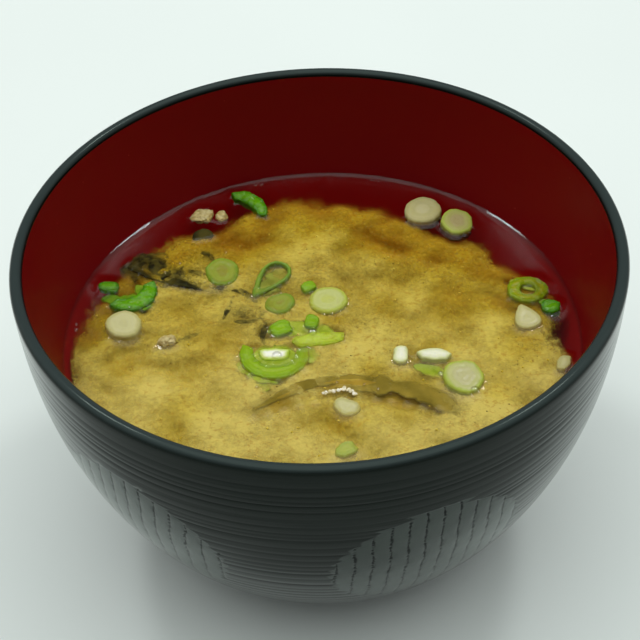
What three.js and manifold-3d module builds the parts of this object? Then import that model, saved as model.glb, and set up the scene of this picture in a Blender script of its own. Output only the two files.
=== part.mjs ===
// Miso soup with scallion, wakame and tofu crumbs in a turned and lacquered bowl.
// Millimetres, +Z up. The origin is the centre of the foot, on the table; -Y is the front.
// Every piece of garnish floats in its own recess in the soup, with a small gap all round.

import * as THREE from 'three';
import { mergeVertices } from 'three/addons/utils/BufferGeometryUtils.js';
import Module from 'manifold-3d';

const wasm = await Module();
wasm.setup();

// ---------------------------------------------------------------- driving dimensions

const RIM_RADIUS = 57.5;
const BOWL_HEIGHT = 71;
const SEGMENTS = 56;
const GAP = 0.3;

// The outside follows radius = rim * (1 - (depth / REACH) ^ BEND) ^ (1 / ROUNDNESS).
const OUTSIDE = { reach: 84, bend: 2.2, roundness: 1.72 };
const OUTSIDE_END_DEPTH = 62.5;

// The inside is the same kind of curve and closes at the floor of the bowl.
const INSIDE = { reach: 63.5, bend: 1.371, roundness: 4 };
const INSIDE_RIM_RADIUS = 55.1;
const INSIDE_DEPTHS = [62, 57, 48, 36, 22, 9];

const LIP_RADIUS = (RIM_RADIUS - INSIDE_RIM_RADIUS) / 2;
const LIP_STEPS = 4;

const FOOT = { topRadius: 29.5, bottomRadius: 28, innerRadius: 25, height: 5, recess: 3.5, lean: 0.8 };

// Turned grooves, as depths below the rim. They stop at the smooth round patches.
const LIP_BAND_DEPTH = 2.4;
const GROOVE_DEPTHS = [4.4, 6.5, 9.1, 11, 13, 15.3, 17.2, 19.6, 24.5, 28.8, 32.2, 34.8, 37.5, 44, 51];
const GROOVE_CUT = 0.35;
const GROOVE_HALF_WIDTH = 0.9;
const PATCHES = { count: 6, firstAngle: 19.7, depth: 33, radius: 18.2 };

// Soup
const CONTACT_DEPTH = 23.8;
const MENISCUS_HEIGHT = 1.4;
const CAPILLARY_LENGTH = 2.7;
const MENISCUS_STEPS = [0, 1.3, 3.4, 8];
const SOUP_DEPTHS = [62, 57, 48, 36];
const SOUP_LEVEL = BOWL_HEIGHT - CONTACT_DEPTH - MENISCUS_HEIGHT;

const SLICE_THICKNESS = 3;
const SLICE_BEVEL = 0.35;
const SCRAP_BEVEL = 0.25;
const SEAWEED_THICKNESS = 0.6;
const OUTLINE_SIDES = 16;

const SEED = 20260;

// ---------------------------------------------------------------- small helpers

const radians = THREE.MathUtils.degToRad;

function seededRandom(seed) {
  let state = seed;
  return () => {
    state = (state * 1664525 + 1013904223) % 4294967296;
    return state / 4294967296;
  };
}

function curveRadius(rimRadius, curve, depth) {
  const fall = (depth / curve.reach) ** curve.bend;
  return rimRadius * Math.max(1 - fall, 0) ** (1 / curve.roundness);
}

const outsideRadius = (depth) => curveRadius(RIM_RADIUS, OUTSIDE, depth);
const insideRadius = (depth) => curveRadius(INSIDE_RIM_RADIUS, INSIDE, depth);
const heightAt = (depth) => BOWL_HEIGHT - depth;

function revolve(profile) {
  const lathe = new THREE.LatheGeometry(profile, SEGMENTS);
  lathe.rotateX(Math.PI / 2);
  return weld(lathe);
}

// Merges shared corners, and drops the triangles that close to nothing on the axis.
function weld(geometry) {
  geometry.deleteAttribute('normal');
  geometry.deleteAttribute('uv');
  const welded = mergeVertices(geometry, 1e-4);
  const kept = [];
  for (let i = 0; i < welded.index.count; i += 3) {
    const [a, b, c] = [0, 1, 2].map((corner) => welded.index.getX(i + corner));
    if (a !== b && b !== c && c !== a) {
      kept.push(a, b, c);
    }
  }
  welded.setIndex(kept);
  return welded;
}

function toManifold(geometry) {
  return new wasm.Manifold(
    new wasm.Mesh({
      numProp: 3,
      vertProperties: new Float32Array(geometry.attributes.position.array),
      triVerts: new Uint32Array(geometry.index.array),
    }),
  );
}

function fromManifold(solid) {
  const mesh = solid.getMesh();
  const geometry = new THREE.BufferGeometry();
  geometry.setAttribute('position', new THREE.BufferAttribute(mesh.vertProperties, 3));
  geometry.setIndex(new THREE.BufferAttribute(mesh.triVerts, 1));
  return geometry;
}

// ---------------------------------------------------------------- bowl

function grooveRows() {
  const ends = [LIP_BAND_DEPTH, ...GROOVE_DEPTHS, OUTSIDE_END_DEPTH];
  const rows = [];
  for (let i = 1; i < ends.length; i += 1) {
    rows.push((ends[i - 1] + ends[i]) / 2);
    rows.push(ends[i]);
  }
  return rows;
}

function bowlProfile() {
  const floor = heightAt(INSIDE.reach);
  const profile = [
    new THREE.Vector2(0, FOOT.recess),
    new THREE.Vector2(FOOT.innerRadius - FOOT.lean, FOOT.recess),
    new THREE.Vector2(FOOT.innerRadius, 0),
    new THREE.Vector2(FOOT.bottomRadius, 0),
    new THREE.Vector2(FOOT.topRadius, FOOT.height),
  ];
  for (const depth of grooveRows().reverse()) {
    profile.push(new THREE.Vector2(outsideRadius(depth), heightAt(depth)));
  }
  const lipCentre = (RIM_RADIUS + INSIDE_RIM_RADIUS) / 2;
  for (let i = 0; i <= LIP_STEPS; i += 1) {
    const angle = (Math.PI * i) / LIP_STEPS;
    profile.push(
      new THREE.Vector2(
        lipCentre + LIP_RADIUS * Math.cos(angle),
        BOWL_HEIGHT - LIP_RADIUS + LIP_RADIUS * Math.sin(angle),
      ),
    );
  }
  for (const depth of [...INSIDE_DEPTHS].reverse()) {
    profile.push(new THREE.Vector2(insideRadius(depth), heightAt(depth)));
  }
  profile.push(new THREE.Vector2(0, floor));
  return profile;
}

function grooveCutAt(depth) {
  const nearest = Math.min(...GROOVE_DEPTHS.map((groove) => Math.abs(depth - groove)));
  return GROOVE_CUT * Math.max(1 - nearest / GROOVE_HALF_WIDTH, 0);
}

function patchCentres() {
  const radius = outsideRadius(PATCHES.depth);
  const centres = [];
  for (let i = 0; i < PATCHES.count; i += 1) {
    const angle = radians(PATCHES.firstAngle + (360 / PATCHES.count) * i);
    centres.push(
      new THREE.Vector3(
        radius * Math.sin(angle),
        -radius * Math.cos(angle),
        heightAt(PATCHES.depth),
      ),
    );
  }
  return centres;
}

// Moves the wall in at each groove, except on the round patches.
function cutGrooves(geometry) {
  const centres = patchCentres();
  const positions = geometry.attributes.position;
  const point = new THREE.Vector3();
  for (let i = 0; i < positions.count; i += 1) {
    point.fromBufferAttribute(positions, i);
    const depth = BOWL_HEIGHT - point.z;
    const radius = Math.hypot(point.x, point.y);
    const onWall = Math.abs(radius - outsideRadius(depth)) < GAP;
    const onPatch = centres.some((centre) => centre.distanceTo(point) < PATCHES.radius);
    if (onWall && !onPatch) {
      const scale = 1 - grooveCutAt(depth) / radius;
      positions.setXY(i, point.x * scale, point.y * scale);
    }
  }
  return geometry;
}

// ---------------------------------------------------------------- soup

function soupProfile() {
  const contactRadius = insideRadius(CONTACT_DEPTH) - GAP;
  const profile = [new THREE.Vector2(0, heightAt(INSIDE.reach) + GAP)];
  for (const depth of SOUP_DEPTHS) {
    profile.push(new THREE.Vector2(insideRadius(depth) - GAP, heightAt(depth) + GAP));
  }
  for (const inward of MENISCUS_STEPS) {
    const rise = MENISCUS_HEIGHT * Math.exp(-inward / CAPILLARY_LENGTH);
    profile.push(new THREE.Vector2(contactRadius - inward, SOUP_LEVEL + rise));
  }
  profile.push(new THREE.Vector2(0, SOUP_LEVEL));
  return profile;
}

// ---------------------------------------------------------------- outlines of the garnish

// A cut round of scallion: a circle drawn a little long and uneven.
function roundOutline(radius, stretch, seed, hole = 0) {
  const random = seededRandom(SEED + seed);
  const unevenness = 0.07;
  const waves = [2, 3, 5].map((turns) => ({
    turns,
    size: (unevenness * random()) / turns ** 0.5,
    phase: 2 * Math.PI * random(),
  }));
  const points = [];
  for (let i = 0; i < OUTLINE_SIDES; i += 1) {
    const angle = (2 * Math.PI * i) / OUTLINE_SIDES;
    const uneven = waves.reduce((sum, w) => sum + w.size * Math.cos(w.turns * angle + w.phase), 1);
    const reach = radius * uneven;
    points.push(new THREE.Vector2(reach * stretch * Math.cos(angle), (reach / stretch) * Math.sin(angle)));
  }
  const shape = new THREE.Shape(points);
  if (hole > 0) {
    shape.holes.push(new THREE.Path(points.map((p) => p.clone().multiplyScalar(hole / radius))));
  }
  return shape;
}

// Part of a ring, from one angle to another, tapered to both ends.
function crescentOutline(radius, width, fromAngle, toAngle) {
  const steps = 9;
  const endShare = 0.62;
  const outer = [];
  const inner = [];
  for (let i = 0; i <= steps; i += 1) {
    const along = i / steps;
    const angle = radians(fromAngle + (toAngle - fromAngle) * along);
    const thick = width * (endShare + (1 - endShare) * Math.sin(Math.PI * along));
    outer.push(new THREE.Vector2(radius * Math.cos(angle), radius * Math.sin(angle)));
    inner.push(new THREE.Vector2((radius - thick) * Math.cos(angle), (radius - thick) * Math.sin(angle)));
  }
  return new THREE.Shape([...outer, ...inner.reverse()]);
}

// An egg drawn out to a narrow end on its left. The fullest swell brings it to the stated width.
function teardropPoints(length, width, shift = 0) {
  const narrowing = 0.55;
  const fullestSwell = 1.15;
  const points = [];
  for (let i = 0; i < OUTLINE_SIDES + 2; i += 1) {
    const t = (2 * Math.PI * (i + 0.5)) / (OUTLINE_SIDES + 2);
    const swell = (1 + narrowing * Math.cos(t)) / fullestSwell;
    points.push(new THREE.Vector2(shift + (length / 2) * Math.cos(t), (width / 2) * swell * Math.sin(t)));
  }
  return points;
}

// With a wall it is a hollow leaf tube, whose narrow end stays solid for the length of the tail.
function teardropOutline(length, width, wall = 0, tail = 0) {
  const shape = new THREE.Shape(teardropPoints(length, width));
  if (wall > 0) {
    const opening = teardropPoints(length - wall - tail, width - 2 * wall, (tail - wall) / 2);
    shape.holes.push(new THREE.Path(opening));
  }
  return shape;
}

// A chopped scrap: a rounded, uneven block.
function chipOutline(length, width, seed) {
  const random = seededRandom(SEED + seed);
  const sides = 12;
  const squareness = 2.6;
  const reach = { least: 0.86, range: 0.2 };
  const points = [];
  for (let i = 0; i < sides; i += 1) {
    const angle = (2 * Math.PI * i) / sides;
    const c = Math.cos(angle);
    const s = Math.sin(angle);
    const uneven = reach.least + reach.range * random();
    points.push(
      new THREE.Vector2(
        uneven * (length / 2) * Math.sign(c) * Math.abs(c) ** (2 / squareness),
        uneven * (width / 2) * Math.sign(s) * Math.abs(s) ** (2 / squareness),
      ),
    );
  }
  return new THREE.Shape(points);
}

// The heart of a stem: a round pulled long on a slant and pressed in at the top.
function heartOutline(size) {
  const pull = { share: 0.16, slant: 0.5 };
  const pressedIn = 0.2;
  const points = [];
  for (let i = 0; i < OUTLINE_SIDES; i += 1) {
    const t = (2 * Math.PI * i) / OUTLINE_SIDES;
    const uneven = 1 + pull.share * Math.cos(2 * t + pull.slant) - pressedIn * Math.sin(t) ** 5;
    const reach = (size / 2) * uneven;
    points.push(new THREE.Vector2(reach * Math.cos(t), reach * Math.sin(t)));
  }
  return new THREE.Shape(points);
}

// ---------------------------------------------------------------- solids of the garnish

// A cut piece with its top at z = 0 and softened edges.
function slab(outline, thickness, bevel) {
  const geometry = new THREE.ExtrudeGeometry(outline, {
    depth: thickness - 2 * bevel,
    steps: 1,
    curveSegments: 1,
    bevelEnabled: true,
    bevelThickness: bevel,
    bevelSize: bevel,
    bevelOffset: -bevel,
    bevelSegments: 1,
  });
  geometry.translate(0, 0, bevel - thickness);
  return weld(geometry);
}

// The straight-sided recess that such a piece lies in: a gap wider all round and open above.
function slabRecess(outline, thickness) {
  const clear = thickness + GAP;
  const geometry = new THREE.ExtrudeGeometry(outline, {
    depth: clear + GAP,
    steps: 1,
    curveSegments: 1,
    bevelEnabled: true,
    bevelThickness: 0,
    bevelSize: GAP,
    bevelOffset: 0,
    bevelSegments: 0,
  });
  geometry.translate(0, 0, -clear);
  return weld(geometry);
}

// A strip of seaweed: a thin wavy sheet along a shallow arc, tilted so that one edge rides high.
function ribbon(size, grow) {
  const { length, width, bow, roll, wave, turns, sink } = size;
  const halfThickness = SEAWEED_THICKNESS / 2 + grow;
  const columns = 12;
  const rows = 3;
  const endWidth = 0.2;
  const faces = [[], []];
  for (let i = 0; i <= columns; i += 1) {
    const u = (2 * i) / columns - 1;
    const taper = Math.max(Math.sqrt(1 - Math.abs(u) ** 3), endWidth);
    for (let j = 0; j <= rows; j += 1) {
      const v = (2 * j) / rows - 1;
      const across = v * ((width / 2) * taper + grow);
      const x = u * (length / 2 + grow);
      const y = bow * (1 - u * u) + across * Math.cos(radians(roll));
      const lift = wave * Math.sin(turns * Math.PI * u + v) - sink * u * u;
      const z = across * Math.sin(radians(roll)) + lift;
      faces[0].push(new THREE.Vector3(x, y, z + halfThickness));
      faces[1].push(new THREE.Vector3(x, y, z - halfThickness));
    }
  }
  return sheetBody(faces, columns, rows);
}

function sheetBody(faces, columns, rows) {
  const points = [...faces[0], ...faces[1]];
  const below = faces[0].length;
  const at = (i, j) => i * (rows + 1) + j;
  const index = [];
  const quad = (a, b, c, d) => index.push(a, b, c, a, c, d);
  for (let i = 0; i < columns; i += 1) {
    for (let j = 0; j < rows; j += 1) {
      const [a, b, c, d] = [at(i, j), at(i + 1, j), at(i + 1, j + 1), at(i, j + 1)];
      quad(a, b, c, d);
      index.push(below + a, below + c, below + b, below + a, below + d, below + c);
    }
    quad(below + at(i, 0), below + at(i + 1, 0), at(i + 1, 0), at(i, 0));
    quad(at(i, rows), at(i + 1, rows), below + at(i + 1, rows), below + at(i, rows));
  }
  for (let j = 0; j < rows; j += 1) {
    quad(at(0, j), at(0, j + 1), below + at(0, j + 1), below + at(0, j));
    quad(below + at(columns, j), below + at(columns, j + 1), at(columns, j + 1), at(columns, j));
  }
  const geometry = new THREE.BufferGeometry().setFromPoints(points);
  geometry.setIndex(index);
  return geometry;
}

// A curd-like crumb: a ball pulled into an uneven lump.
function crumb(length, width, height, seed, grow) {
  const random = seededRandom(SEED + seed);
  const reach = { least: 0.8, range: 0.35 };
  const ball = weld(new THREE.IcosahedronGeometry(1, 1));
  const positions = ball.attributes.position;
  for (let i = 0; i < positions.count; i += 1) {
    const uneven = reach.least + reach.range * random();
    positions.setXYZ(
      i,
      positions.getX(i) * (uneven * (length / 2) + grow),
      positions.getY(i) * (uneven * (width / 2) + grow),
      positions.getZ(i) * (uneven * (height / 2) + grow),
    );
  }
  return ball;
}

// ---------------------------------------------------------------- the garnish

const WHITE = '#d9dcc0';
const PALE = '#c3cc84';
const LIME = '#93b53a';
const GREEN = '#4f9a12';
const DARK_LEAF = '#3a6f14';
const SEAWEED = '#3d3f16';
const CREAM = '#c9bd7c';

const cut = (outline, thickness, bevel) => ({
  solid: slab(outline, thickness, bevel),
  recess: slabRecess(outline, thickness),
});
const scrap = (outline, thickness) => cut(outline, thickness, SCRAP_BEVEL);

const slice = (radius, stretch, seed, hole) =>
  cut(roundOutline(radius, stretch, seed, hole), SLICE_THICKNESS, SLICE_BEVEL);
const crescent = (radius, width, thickness, fromAngle, toAngle) =>
  scrap(crescentOutline(radius, width, fromAngle, toAngle), thickness);
const teardrop = (length, width, thickness, wall, tail) =>
  scrap(teardropOutline(length, width, wall, tail), thickness);
const chip = (length, width, thickness, seed) => scrap(chipOutline(length, width, seed), thickness);
const heart = (size, thickness) => scrap(heartOutline(size), thickness);
const curd = (...size) => ({ solid: crumb(...size, 0), recess: crumb(...size, GAP) });
const seaweed = (size) => ({ solid: ribbon(size, 0), recess: ribbon(size, GAP) });

// Where the middle of a piece is, and how far its top stands above the flat soup.
const at = (x, y, proud) => new THREE.Vector3(x, y, SOUP_LEVEL + proud);

// The turn about the vertical, the nod of the top towards the front, and its lean to the right, in
// degrees.
const tilt = (turn, nod = 0, lean = 0) => new THREE.Euler(radians(nod), radians(lean), radians(turn));

const piece = (name, colour, shape, place, rotation) => ({ name, colour, ...shape, place, rotation });

const GARNISH = [
  // Rounds of the stem, by radius, stretch, seed and the radius of any hole.
  piece('scallion_white_left', WHITE, slice(3.7, 0.97, 1), at(-39.5, 4.1, 1.5), tilt(20, 3, 2)),
  piece('scallion_white_back', WHITE, slice(4, 1, 2), at(22.8, 36.9, 1.4), tilt(60, 5, -3)),
  piece('scallion_green_back', PALE, slice(3.6, 0.96, 3), at(29.9, 32.8, 1.2), tilt(0, 7, 4)),
  piece('scallion_round_right', PALE, slice(4.1, 0.97, 4), at(26.9, -13.5, 1), tilt(10, 4, 3)),
  piece('scallion_white_centre', WHITE, slice(3.9, 1.04, 5), at(1.5, 9.9, 0.7), tilt(-15, 4, -4)),
  piece('scallion_round_left', PALE, slice(3.9, 0.92, 6), at(-20.2, 20.2, 0.35), tilt(8, 2, 1)),
  piece('scallion_sunk_ring', PALE, slice(3.1, 1.05, 7), at(-8.3, 9.9, 0.2), tilt(30, 2, -3)),
  piece('scallion_ring_right', LIME, slice(4, 1.09, 8, 1.4), at(42.3, 11, 0.6), tilt(10, 2, 3)),
  // Scraps: a crescent by radius, width, thickness and its two ends, in degrees, and the others by
  // length, width and thickness, then by the wall and tail of a tube or the seed of a chip.
  piece('scallion_heart', WHITE, heart(4.8, 1.4), at(4.3, -19.6, 0.35), tilt(-20, 2)),
  piece('scallion_tube', DARK_LEAF, teardrop(11.6, 6.4, 2.4, 0.8, 2.6), at(-10.4, 16.9, 0.6), tilt(55, 4)),
  piece('scallion_arc_back', GREEN, crescent(5.8, 3.3, 2.2, -15, 112), at(-16.6, 39.2, 0.7), tilt(0, 12)),
  piece('scallion_arc_left', GREEN, crescent(5.7, 4.1, 2, -138, 32), at(-39, 14.6, 1), tilt(0, 6, 4)),
  piece('scallion_arc_front', LIME, crescent(6.9, 3.8, 2, 156, 374), at(-9.4, -4.9, 0.3), tilt(0, 0, 2)),
  piece('scallion_core_front', WHITE, chip(6.6, 3.4, 1.8, 21), at(-9.4, -5.2, 0.5), tilt(0, 3)),
  piece('scallion_arc_striped', WHITE, crescent(5.6, 3, 1.8, 50, 128), at(21.3, -11.5, 0.5), tilt(-5, 10)),
  piece('scallion_white_chip', WHITE, chip(3.3, 4.4, 1.6, 23), at(15.3, -6.8, 0.9), tilt(-8, 9)),
  piece('scallion_white_right', WHITE, teardrop(6.6, 5.6, 2), at(40.9, 2.7, 0.9), tilt(-75, 6)),
  piece('scallion_chip_right', GREEN, chip(4.2, 3.8, 1.6, 25), at(46.3, 5.2, 1.1), tilt(-20, 4, -6)),
  piece('scallion_chip_edge', WHITE, chip(4.2, 2.7, 1.4, 26), at(46.4, -10.8, 1), tilt(62, 0, -8)),
  piece('scallion_chip_left', GREEN, chip(4.6, 3.2, 1.2, 27), at(-43.4, 16.2, 0.8), tilt(-5, 4, 8)),
  piece('scallion_chip_dark', GREEN, chip(3.6, 2.9, 1.4, 28), at(-2.3, 14, 0.8), tilt(40, 5)),
  piece('scallion_chip_mid_left', LIME, chip(4.6, 4.2, 1.5, 29), at(-8.1, 2.1, 0.6), tilt(15, 4, -4)),
  piece('scallion_chip_mid_right', LIME, chip(3.2, 3.8, 1.5, 30), at(-1.9, 3.6, 0.7), tilt(-15, 5, 3)),
  piece('scallion_leaf_flat', LIME, chip(11.8, 4.2, 1, 31), at(-0.5, -1, 0.2), tilt(6, 1)),
  piece('scallion_chip_front', PALE, chip(4.6, 3.4, 1.2, 32), at(3.7, -30.5, 0.3), tilt(32, 0, 3)),
  // Crumbs of tofu, by length, width, height and seed.
  piece('tofu_crumb_back', CREAM, curd(5.4, 4.4, 2.4, 41), at(-25, 38.6, 0), tilt(10)),
  piece('tofu_crumb_middle', CREAM, curd(2.8, 3.6, 2, 42), at(-20.8, 38.4, 0.1), tilt(0)),
  piece('tofu_crumb_left', CREAM, curd(4.2, 2.8, 2.2, 43), at(-30.7, -0.4, 0.3), tilt(20)),
  // Strips of seaweed, each with one edge at the surface.
  piece(
    'wakame_front',
    SEAWEED,
    seaweed({ length: 35, width: 5, bow: 5.4, roll: 27, wave: 0.35, turns: 2.3, sink: 0.6 }),
    at(4.1, -20.2, -1.3),
    tilt(1),
  ),
  piece(
    'wakame_left',
    SEAWEED,
    seaweed({ length: 21, width: 3.4, bow: -0.9, roll: -18, wave: 0.4, turns: 1.7, sink: 0.3 }),
    at(-30.6, 19.5, -0.6),
    tilt(-24),
  ),
  piece(
    'wakame_back',
    SEAWEED,
    seaweed({ length: 4.8, width: 2.8, bow: 0.4, roll: 12, wave: 0.2, turns: 0.8, sink: 0.2 }),
    at(-24.7, 32.2, -0.1),
    tilt(12),
  ),
];

function placed(item, geometry) {
  const material = new THREE.MeshStandardMaterial({ color: item.colour, roughness: 0.35, metalness: 0 });
  const mesh = new THREE.Mesh(geometry, material);
  mesh.name = item.name;
  mesh.position.copy(item.place);
  mesh.rotation.copy(item.rotation);
  mesh.updateMatrix();
  return mesh;
}

// ---------------------------------------------------------------- assembly

const bowl = new THREE.Mesh(
  cutGrooves(revolve(bowlProfile())),
  new THREE.MeshStandardMaterial({ color: '#1c201e', roughness: 0.4, metalness: 0 }),
);
bowl.name = 'bowl';

let soupSolid = toManifold(revolve(soupProfile()));
for (const item of GARNISH) {
  const { matrix, geometry } = placed(item, item.recess);
  soupSolid = soupSolid.subtract(toManifold(geometry.applyMatrix4(matrix)));
}
const soup = new THREE.Mesh(
  fromManifold(soupSolid),
  new THREE.MeshStandardMaterial({ color: '#b79f3f', roughness: 0.15, metalness: 0 }),
);
soup.name = 'soup';

const misoSoup = new THREE.Group();
misoSoup.add(bowl, soup, ...GARNISH.map((item) => placed(item, item.solid)));

export default misoSoup;
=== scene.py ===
"""Miso soup with scallion, wakame and tofu crumbs in a lacquered bowl.

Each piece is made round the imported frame: its sizes and places come from the frame's nodes, and
the curves of the bowl are the ones that the frame's bowl was turned from. Sizes are in
millimetres until a mesh is written, which turns them to metres.
"""

import math
from functools import partial

import bmesh
import bpy
import numpy as np
from bpy.props import FloatProperty, FloatVectorProperty, PointerProperty
from mathutils import Matrix, Vector, kdtree, noise


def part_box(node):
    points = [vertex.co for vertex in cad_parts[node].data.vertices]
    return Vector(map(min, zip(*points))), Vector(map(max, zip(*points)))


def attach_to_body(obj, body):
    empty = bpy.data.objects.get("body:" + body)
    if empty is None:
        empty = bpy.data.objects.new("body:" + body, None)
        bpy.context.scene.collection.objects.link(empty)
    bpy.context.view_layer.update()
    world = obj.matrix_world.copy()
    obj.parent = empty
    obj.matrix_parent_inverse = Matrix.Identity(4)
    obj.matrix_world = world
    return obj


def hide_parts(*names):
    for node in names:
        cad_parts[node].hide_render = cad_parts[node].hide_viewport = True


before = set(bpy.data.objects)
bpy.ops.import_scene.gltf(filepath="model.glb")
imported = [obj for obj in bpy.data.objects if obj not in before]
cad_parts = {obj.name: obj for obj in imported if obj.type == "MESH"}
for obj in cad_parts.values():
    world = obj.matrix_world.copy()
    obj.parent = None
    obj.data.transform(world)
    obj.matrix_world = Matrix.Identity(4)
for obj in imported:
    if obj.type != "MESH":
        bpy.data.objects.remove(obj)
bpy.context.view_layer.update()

bl_info = {
    "name": "Miso Soup Bowl",
    "version": (1, 0, 0),
    "blender": (4, 5, 0),
    "location": "3D View > Sidebar > Miso Soup",
    "description": "Dresses a lacquered bowl of miso soup round its packed frame",
    "category": "Object",
}

MM = 0.001
BODY = "root"
FULL_TURN = 2.0 * math.pi

# ---------------------------------------------------------------- sizes, in mm

RIM_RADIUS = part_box("bowl")[1].x / MM
BOWL_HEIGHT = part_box("bowl")[1].z / MM

# Outside and inside of the bowl: radius = rim * (1 - (depth / reach) ** bend) ** (1 / roundness)
OUTSIDE = {"rim": RIM_RADIUS, "reach": 84.0, "bend": 2.2, "roundness": 1.72}
INSIDE = {"rim": RIM_RADIUS - 2.4, "reach": 63.5, "bend": 1.371, "roundness": 4.0}
LIP_RADIUS = 1.2
OUTSIDE_END_DEPTH = 62.5
FOOT = {"top": 29.5, "bottom": 28.0, "inner": 25.0, "height": 5.0, "recess": 3.5, "lean": 0.8}
FOOT_ROUNDING = 0.3

CONTACT_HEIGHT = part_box("soup")[1].z / MM
MENISCUS_HEIGHT = 1.4
SOUP_LEVEL = CONTACT_HEIGHT - MENISCUS_HEIGHT
CAPILLARY_LENGTH = 2.7
SOUP_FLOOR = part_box("soup")[0].z / MM

# Gap that keeps what the soup holds clear of the bowl's wall.
WALL_GAP = 0.25

# Turned grooves, as depths below the rim, and the smooth round patches that they stop at.
GROOVE_DEPTHS = (
    4.4, 6.5, 8.0, 9.1, 11.0, 13.0, 15.3, 17.2, 18.4, 19.6, 22.0, 24.5, 26.8, 28.8, 30.4, 32.2,
    34.8, 37.5, 40.2, 42.0, 44.0, 46.4, 48.6, 51.0, 53.5, 56.5, 59.5,
)
PATCHES = {"count": 6, "first_angle": 19.7, "depth": 33.0, "radius": 18.2}

# The waves that scallop a patch's edge, each as its depth in mm and its radians for each mm down.
SCALLOPS = ((0.5, 2.4), (0.3, 5.3))

# Grain lines carved in each patch: their spacing, and how far each patch's lines lean for each
# millimetre that they run down.
GRAIN_SPACING = 3.1
GRAIN_LEANS = (0.06, -0.05, 0.1, -0.14, 0.12, -0.23)

# What a point stores as its distance where it is far from a patch, or out of sight under the soup.
FAR_OFF = 9.0


def curve_radius(curve, depth):
    """Radius of the bowl's wall at a depth below the rim."""
    fall = (depth / curve["reach"]) ** curve["bend"]
    return curve["rim"] * np.maximum(1.0 - fall, 0.0) ** (1.0 / curve["roundness"])


def inside_radius(height):
    """Inner radius of the bowl at a height above the table."""
    return curve_radius(INSIDE, BOWL_HEIGHT - height)


def smooth_step(low, high, value):
    """0 below low, 1 above high and a smooth rise between them."""
    t = np.clip((value - low) / (high - low), 0.0, 1.0)
    return t * t * (3.0 - 2.0 * t)


# ---------------------------------------------------------------- settings


def hex_to_srgb(code):
    """An sRGB hex code as three numbers from 0 to 1."""
    return tuple(int(code[i : i + 2], 16) / 255.0 for i in (1, 3, 5))


def linear(colour):
    """An sRGB hex code or triple as a linear RGBA colour."""
    if isinstance(colour, str):
        colour = hex_to_srgb(colour)
    rgb = [c / 12.92 if c <= 0.04045 else ((c + 0.055) / 1.055) ** 2.4 for c in colour]
    return (*rgb, 1.0)


def colour_property(name, description, default):
    """A colour that a user can change, kept as sRGB."""
    return FloatVectorProperty(
        name=name,
        description=description,
        default=hex_to_srgb(default),
        size=3,
        min=0.0,
        max=1.0,
        subtype="COLOR_GAMMA",
    )


def length_property(name, description, default, most):
    """A length in mm that a user can change, kept in metres."""
    return FloatProperty(
        name=name,
        description=description,
        default=default * MM,
        min=0.0,
        max=most * MM,
        precision=5,
        subtype="DISTANCE",
        unit="LENGTH",
    )


def number_property(name, description, default, most, **more):
    """A plain number that a user can change."""
    return FloatProperty(name=name, description=description, default=default, min=0.0, max=most, **more)


class MISO_PG_lacquer(bpy.types.PropertyGroup):
    """Sizes and colours of the lacquered bowl."""

    outside: colour_property("Outside", "Lacquer of the outside and the lip", "#0b0f0d")
    inside: colour_property("Inside", "Lacquer of the inside", "#71070a")
    groove_depth: length_property("Groove Depth", "How deep the turned grooves are", 0.04, 1.0)
    grain_depth: length_property("Grain Depth", "How deep the grain lines are carved", 0.1, 1.0)


class MISO_PG_soup(bpy.types.PropertyGroup):
    """Sizes and colours of the broth and the miso in it."""

    milk: colour_property("Milk", "Miso at the top of its puffs", "#dace78")
    cream: colour_property("Cream", "Miso near the surface", "#d6c866")
    straw: colour_property("Straw", "Miso a little lower", "#c0aa32")
    amber: colour_property("Amber", "Miso at the bottom of its creases", "#a26d10")
    puff_size: length_property("Puff Size", "Width of the soft puffs of miso", 6.5, 30.0)
    speck_size: length_property("Speck Size", "Length of the largest specks", 0.42, 2.0)
    speck_density: number_property(
        "Specks", "Dark specks on each square centimetre of haze, where they are thickest", 26.0, 500.0
    )
    granule_density: number_property(
        "Granules", "Pale grains of miso on each square centimetre of haze", 1.0, 500.0
    )


class MISO_PG_garnish(bpy.types.PropertyGroup):
    """Colours of the garnish."""

    white: colour_property("White", "White of the scallion", "#c3c08c")
    pale: colour_property("Pale", "Pale green of the scallion", "#b6b878")
    lime: colour_property("Lime", "Bright green of the scallion", "#88a818")
    green: colour_property("Green", "Green of the leaf", "#5c9808")
    wakame: colour_property("Wakame", "Seaweed", "#1f200a")
    tofu: colour_property("Tofu", "Tofu crumbs", "#c4b67c")


class MISO_PG_stage(bpy.types.PropertyGroup):
    """Floor and light."""

    floor: colour_property("Floor", "Plain floor", "#e3ece8")
    surround: number_property("Surround", "Brightness of the white surroundings", 0.58, 5.0)
    overhead: number_property("Overhead", "Brightness straight overhead", 2.0, 10.0)
    lamp: number_property("Lamp", "Power of each of the two soft boxes", 0.85, 100.0, unit="POWER")


# ---------------------------------------------------------------- helpers


# Kinds of node that several materials use, and settings that go with them. A range takes in order
# the value, where it starts and ends, and what it gives at the start and at the end. A mix takes its
# share as input 0, and its two sides as inputs 6 and 7 for colours and 2 and 3 for numbers.
ATTRIBUTE = "ShaderNodeAttribute"
BUMP = "ShaderNodeBump"
MATH = "ShaderNodeMath"
MIX = "ShaderNodeMix"
NOISE = "ShaderNodeTexNoise"
OUTPUT = "ShaderNodeOutputMaterial"
PLACE = "ShaderNodeTexCoord"
RAMP = "ShaderNodeValToRGB"
RANGE = "ShaderNodeMapRange"
SHADER = "ShaderNodeBsdfPrincipled"
SPLIT = "ShaderNodeSeparateXYZ"
COLOURS = {"data_type": "RGBA"}
NUMBER = {"data_type": "FLOAT"}
SMOOTH = {"interpolation_type": "SMOOTHSTEP"}


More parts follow.
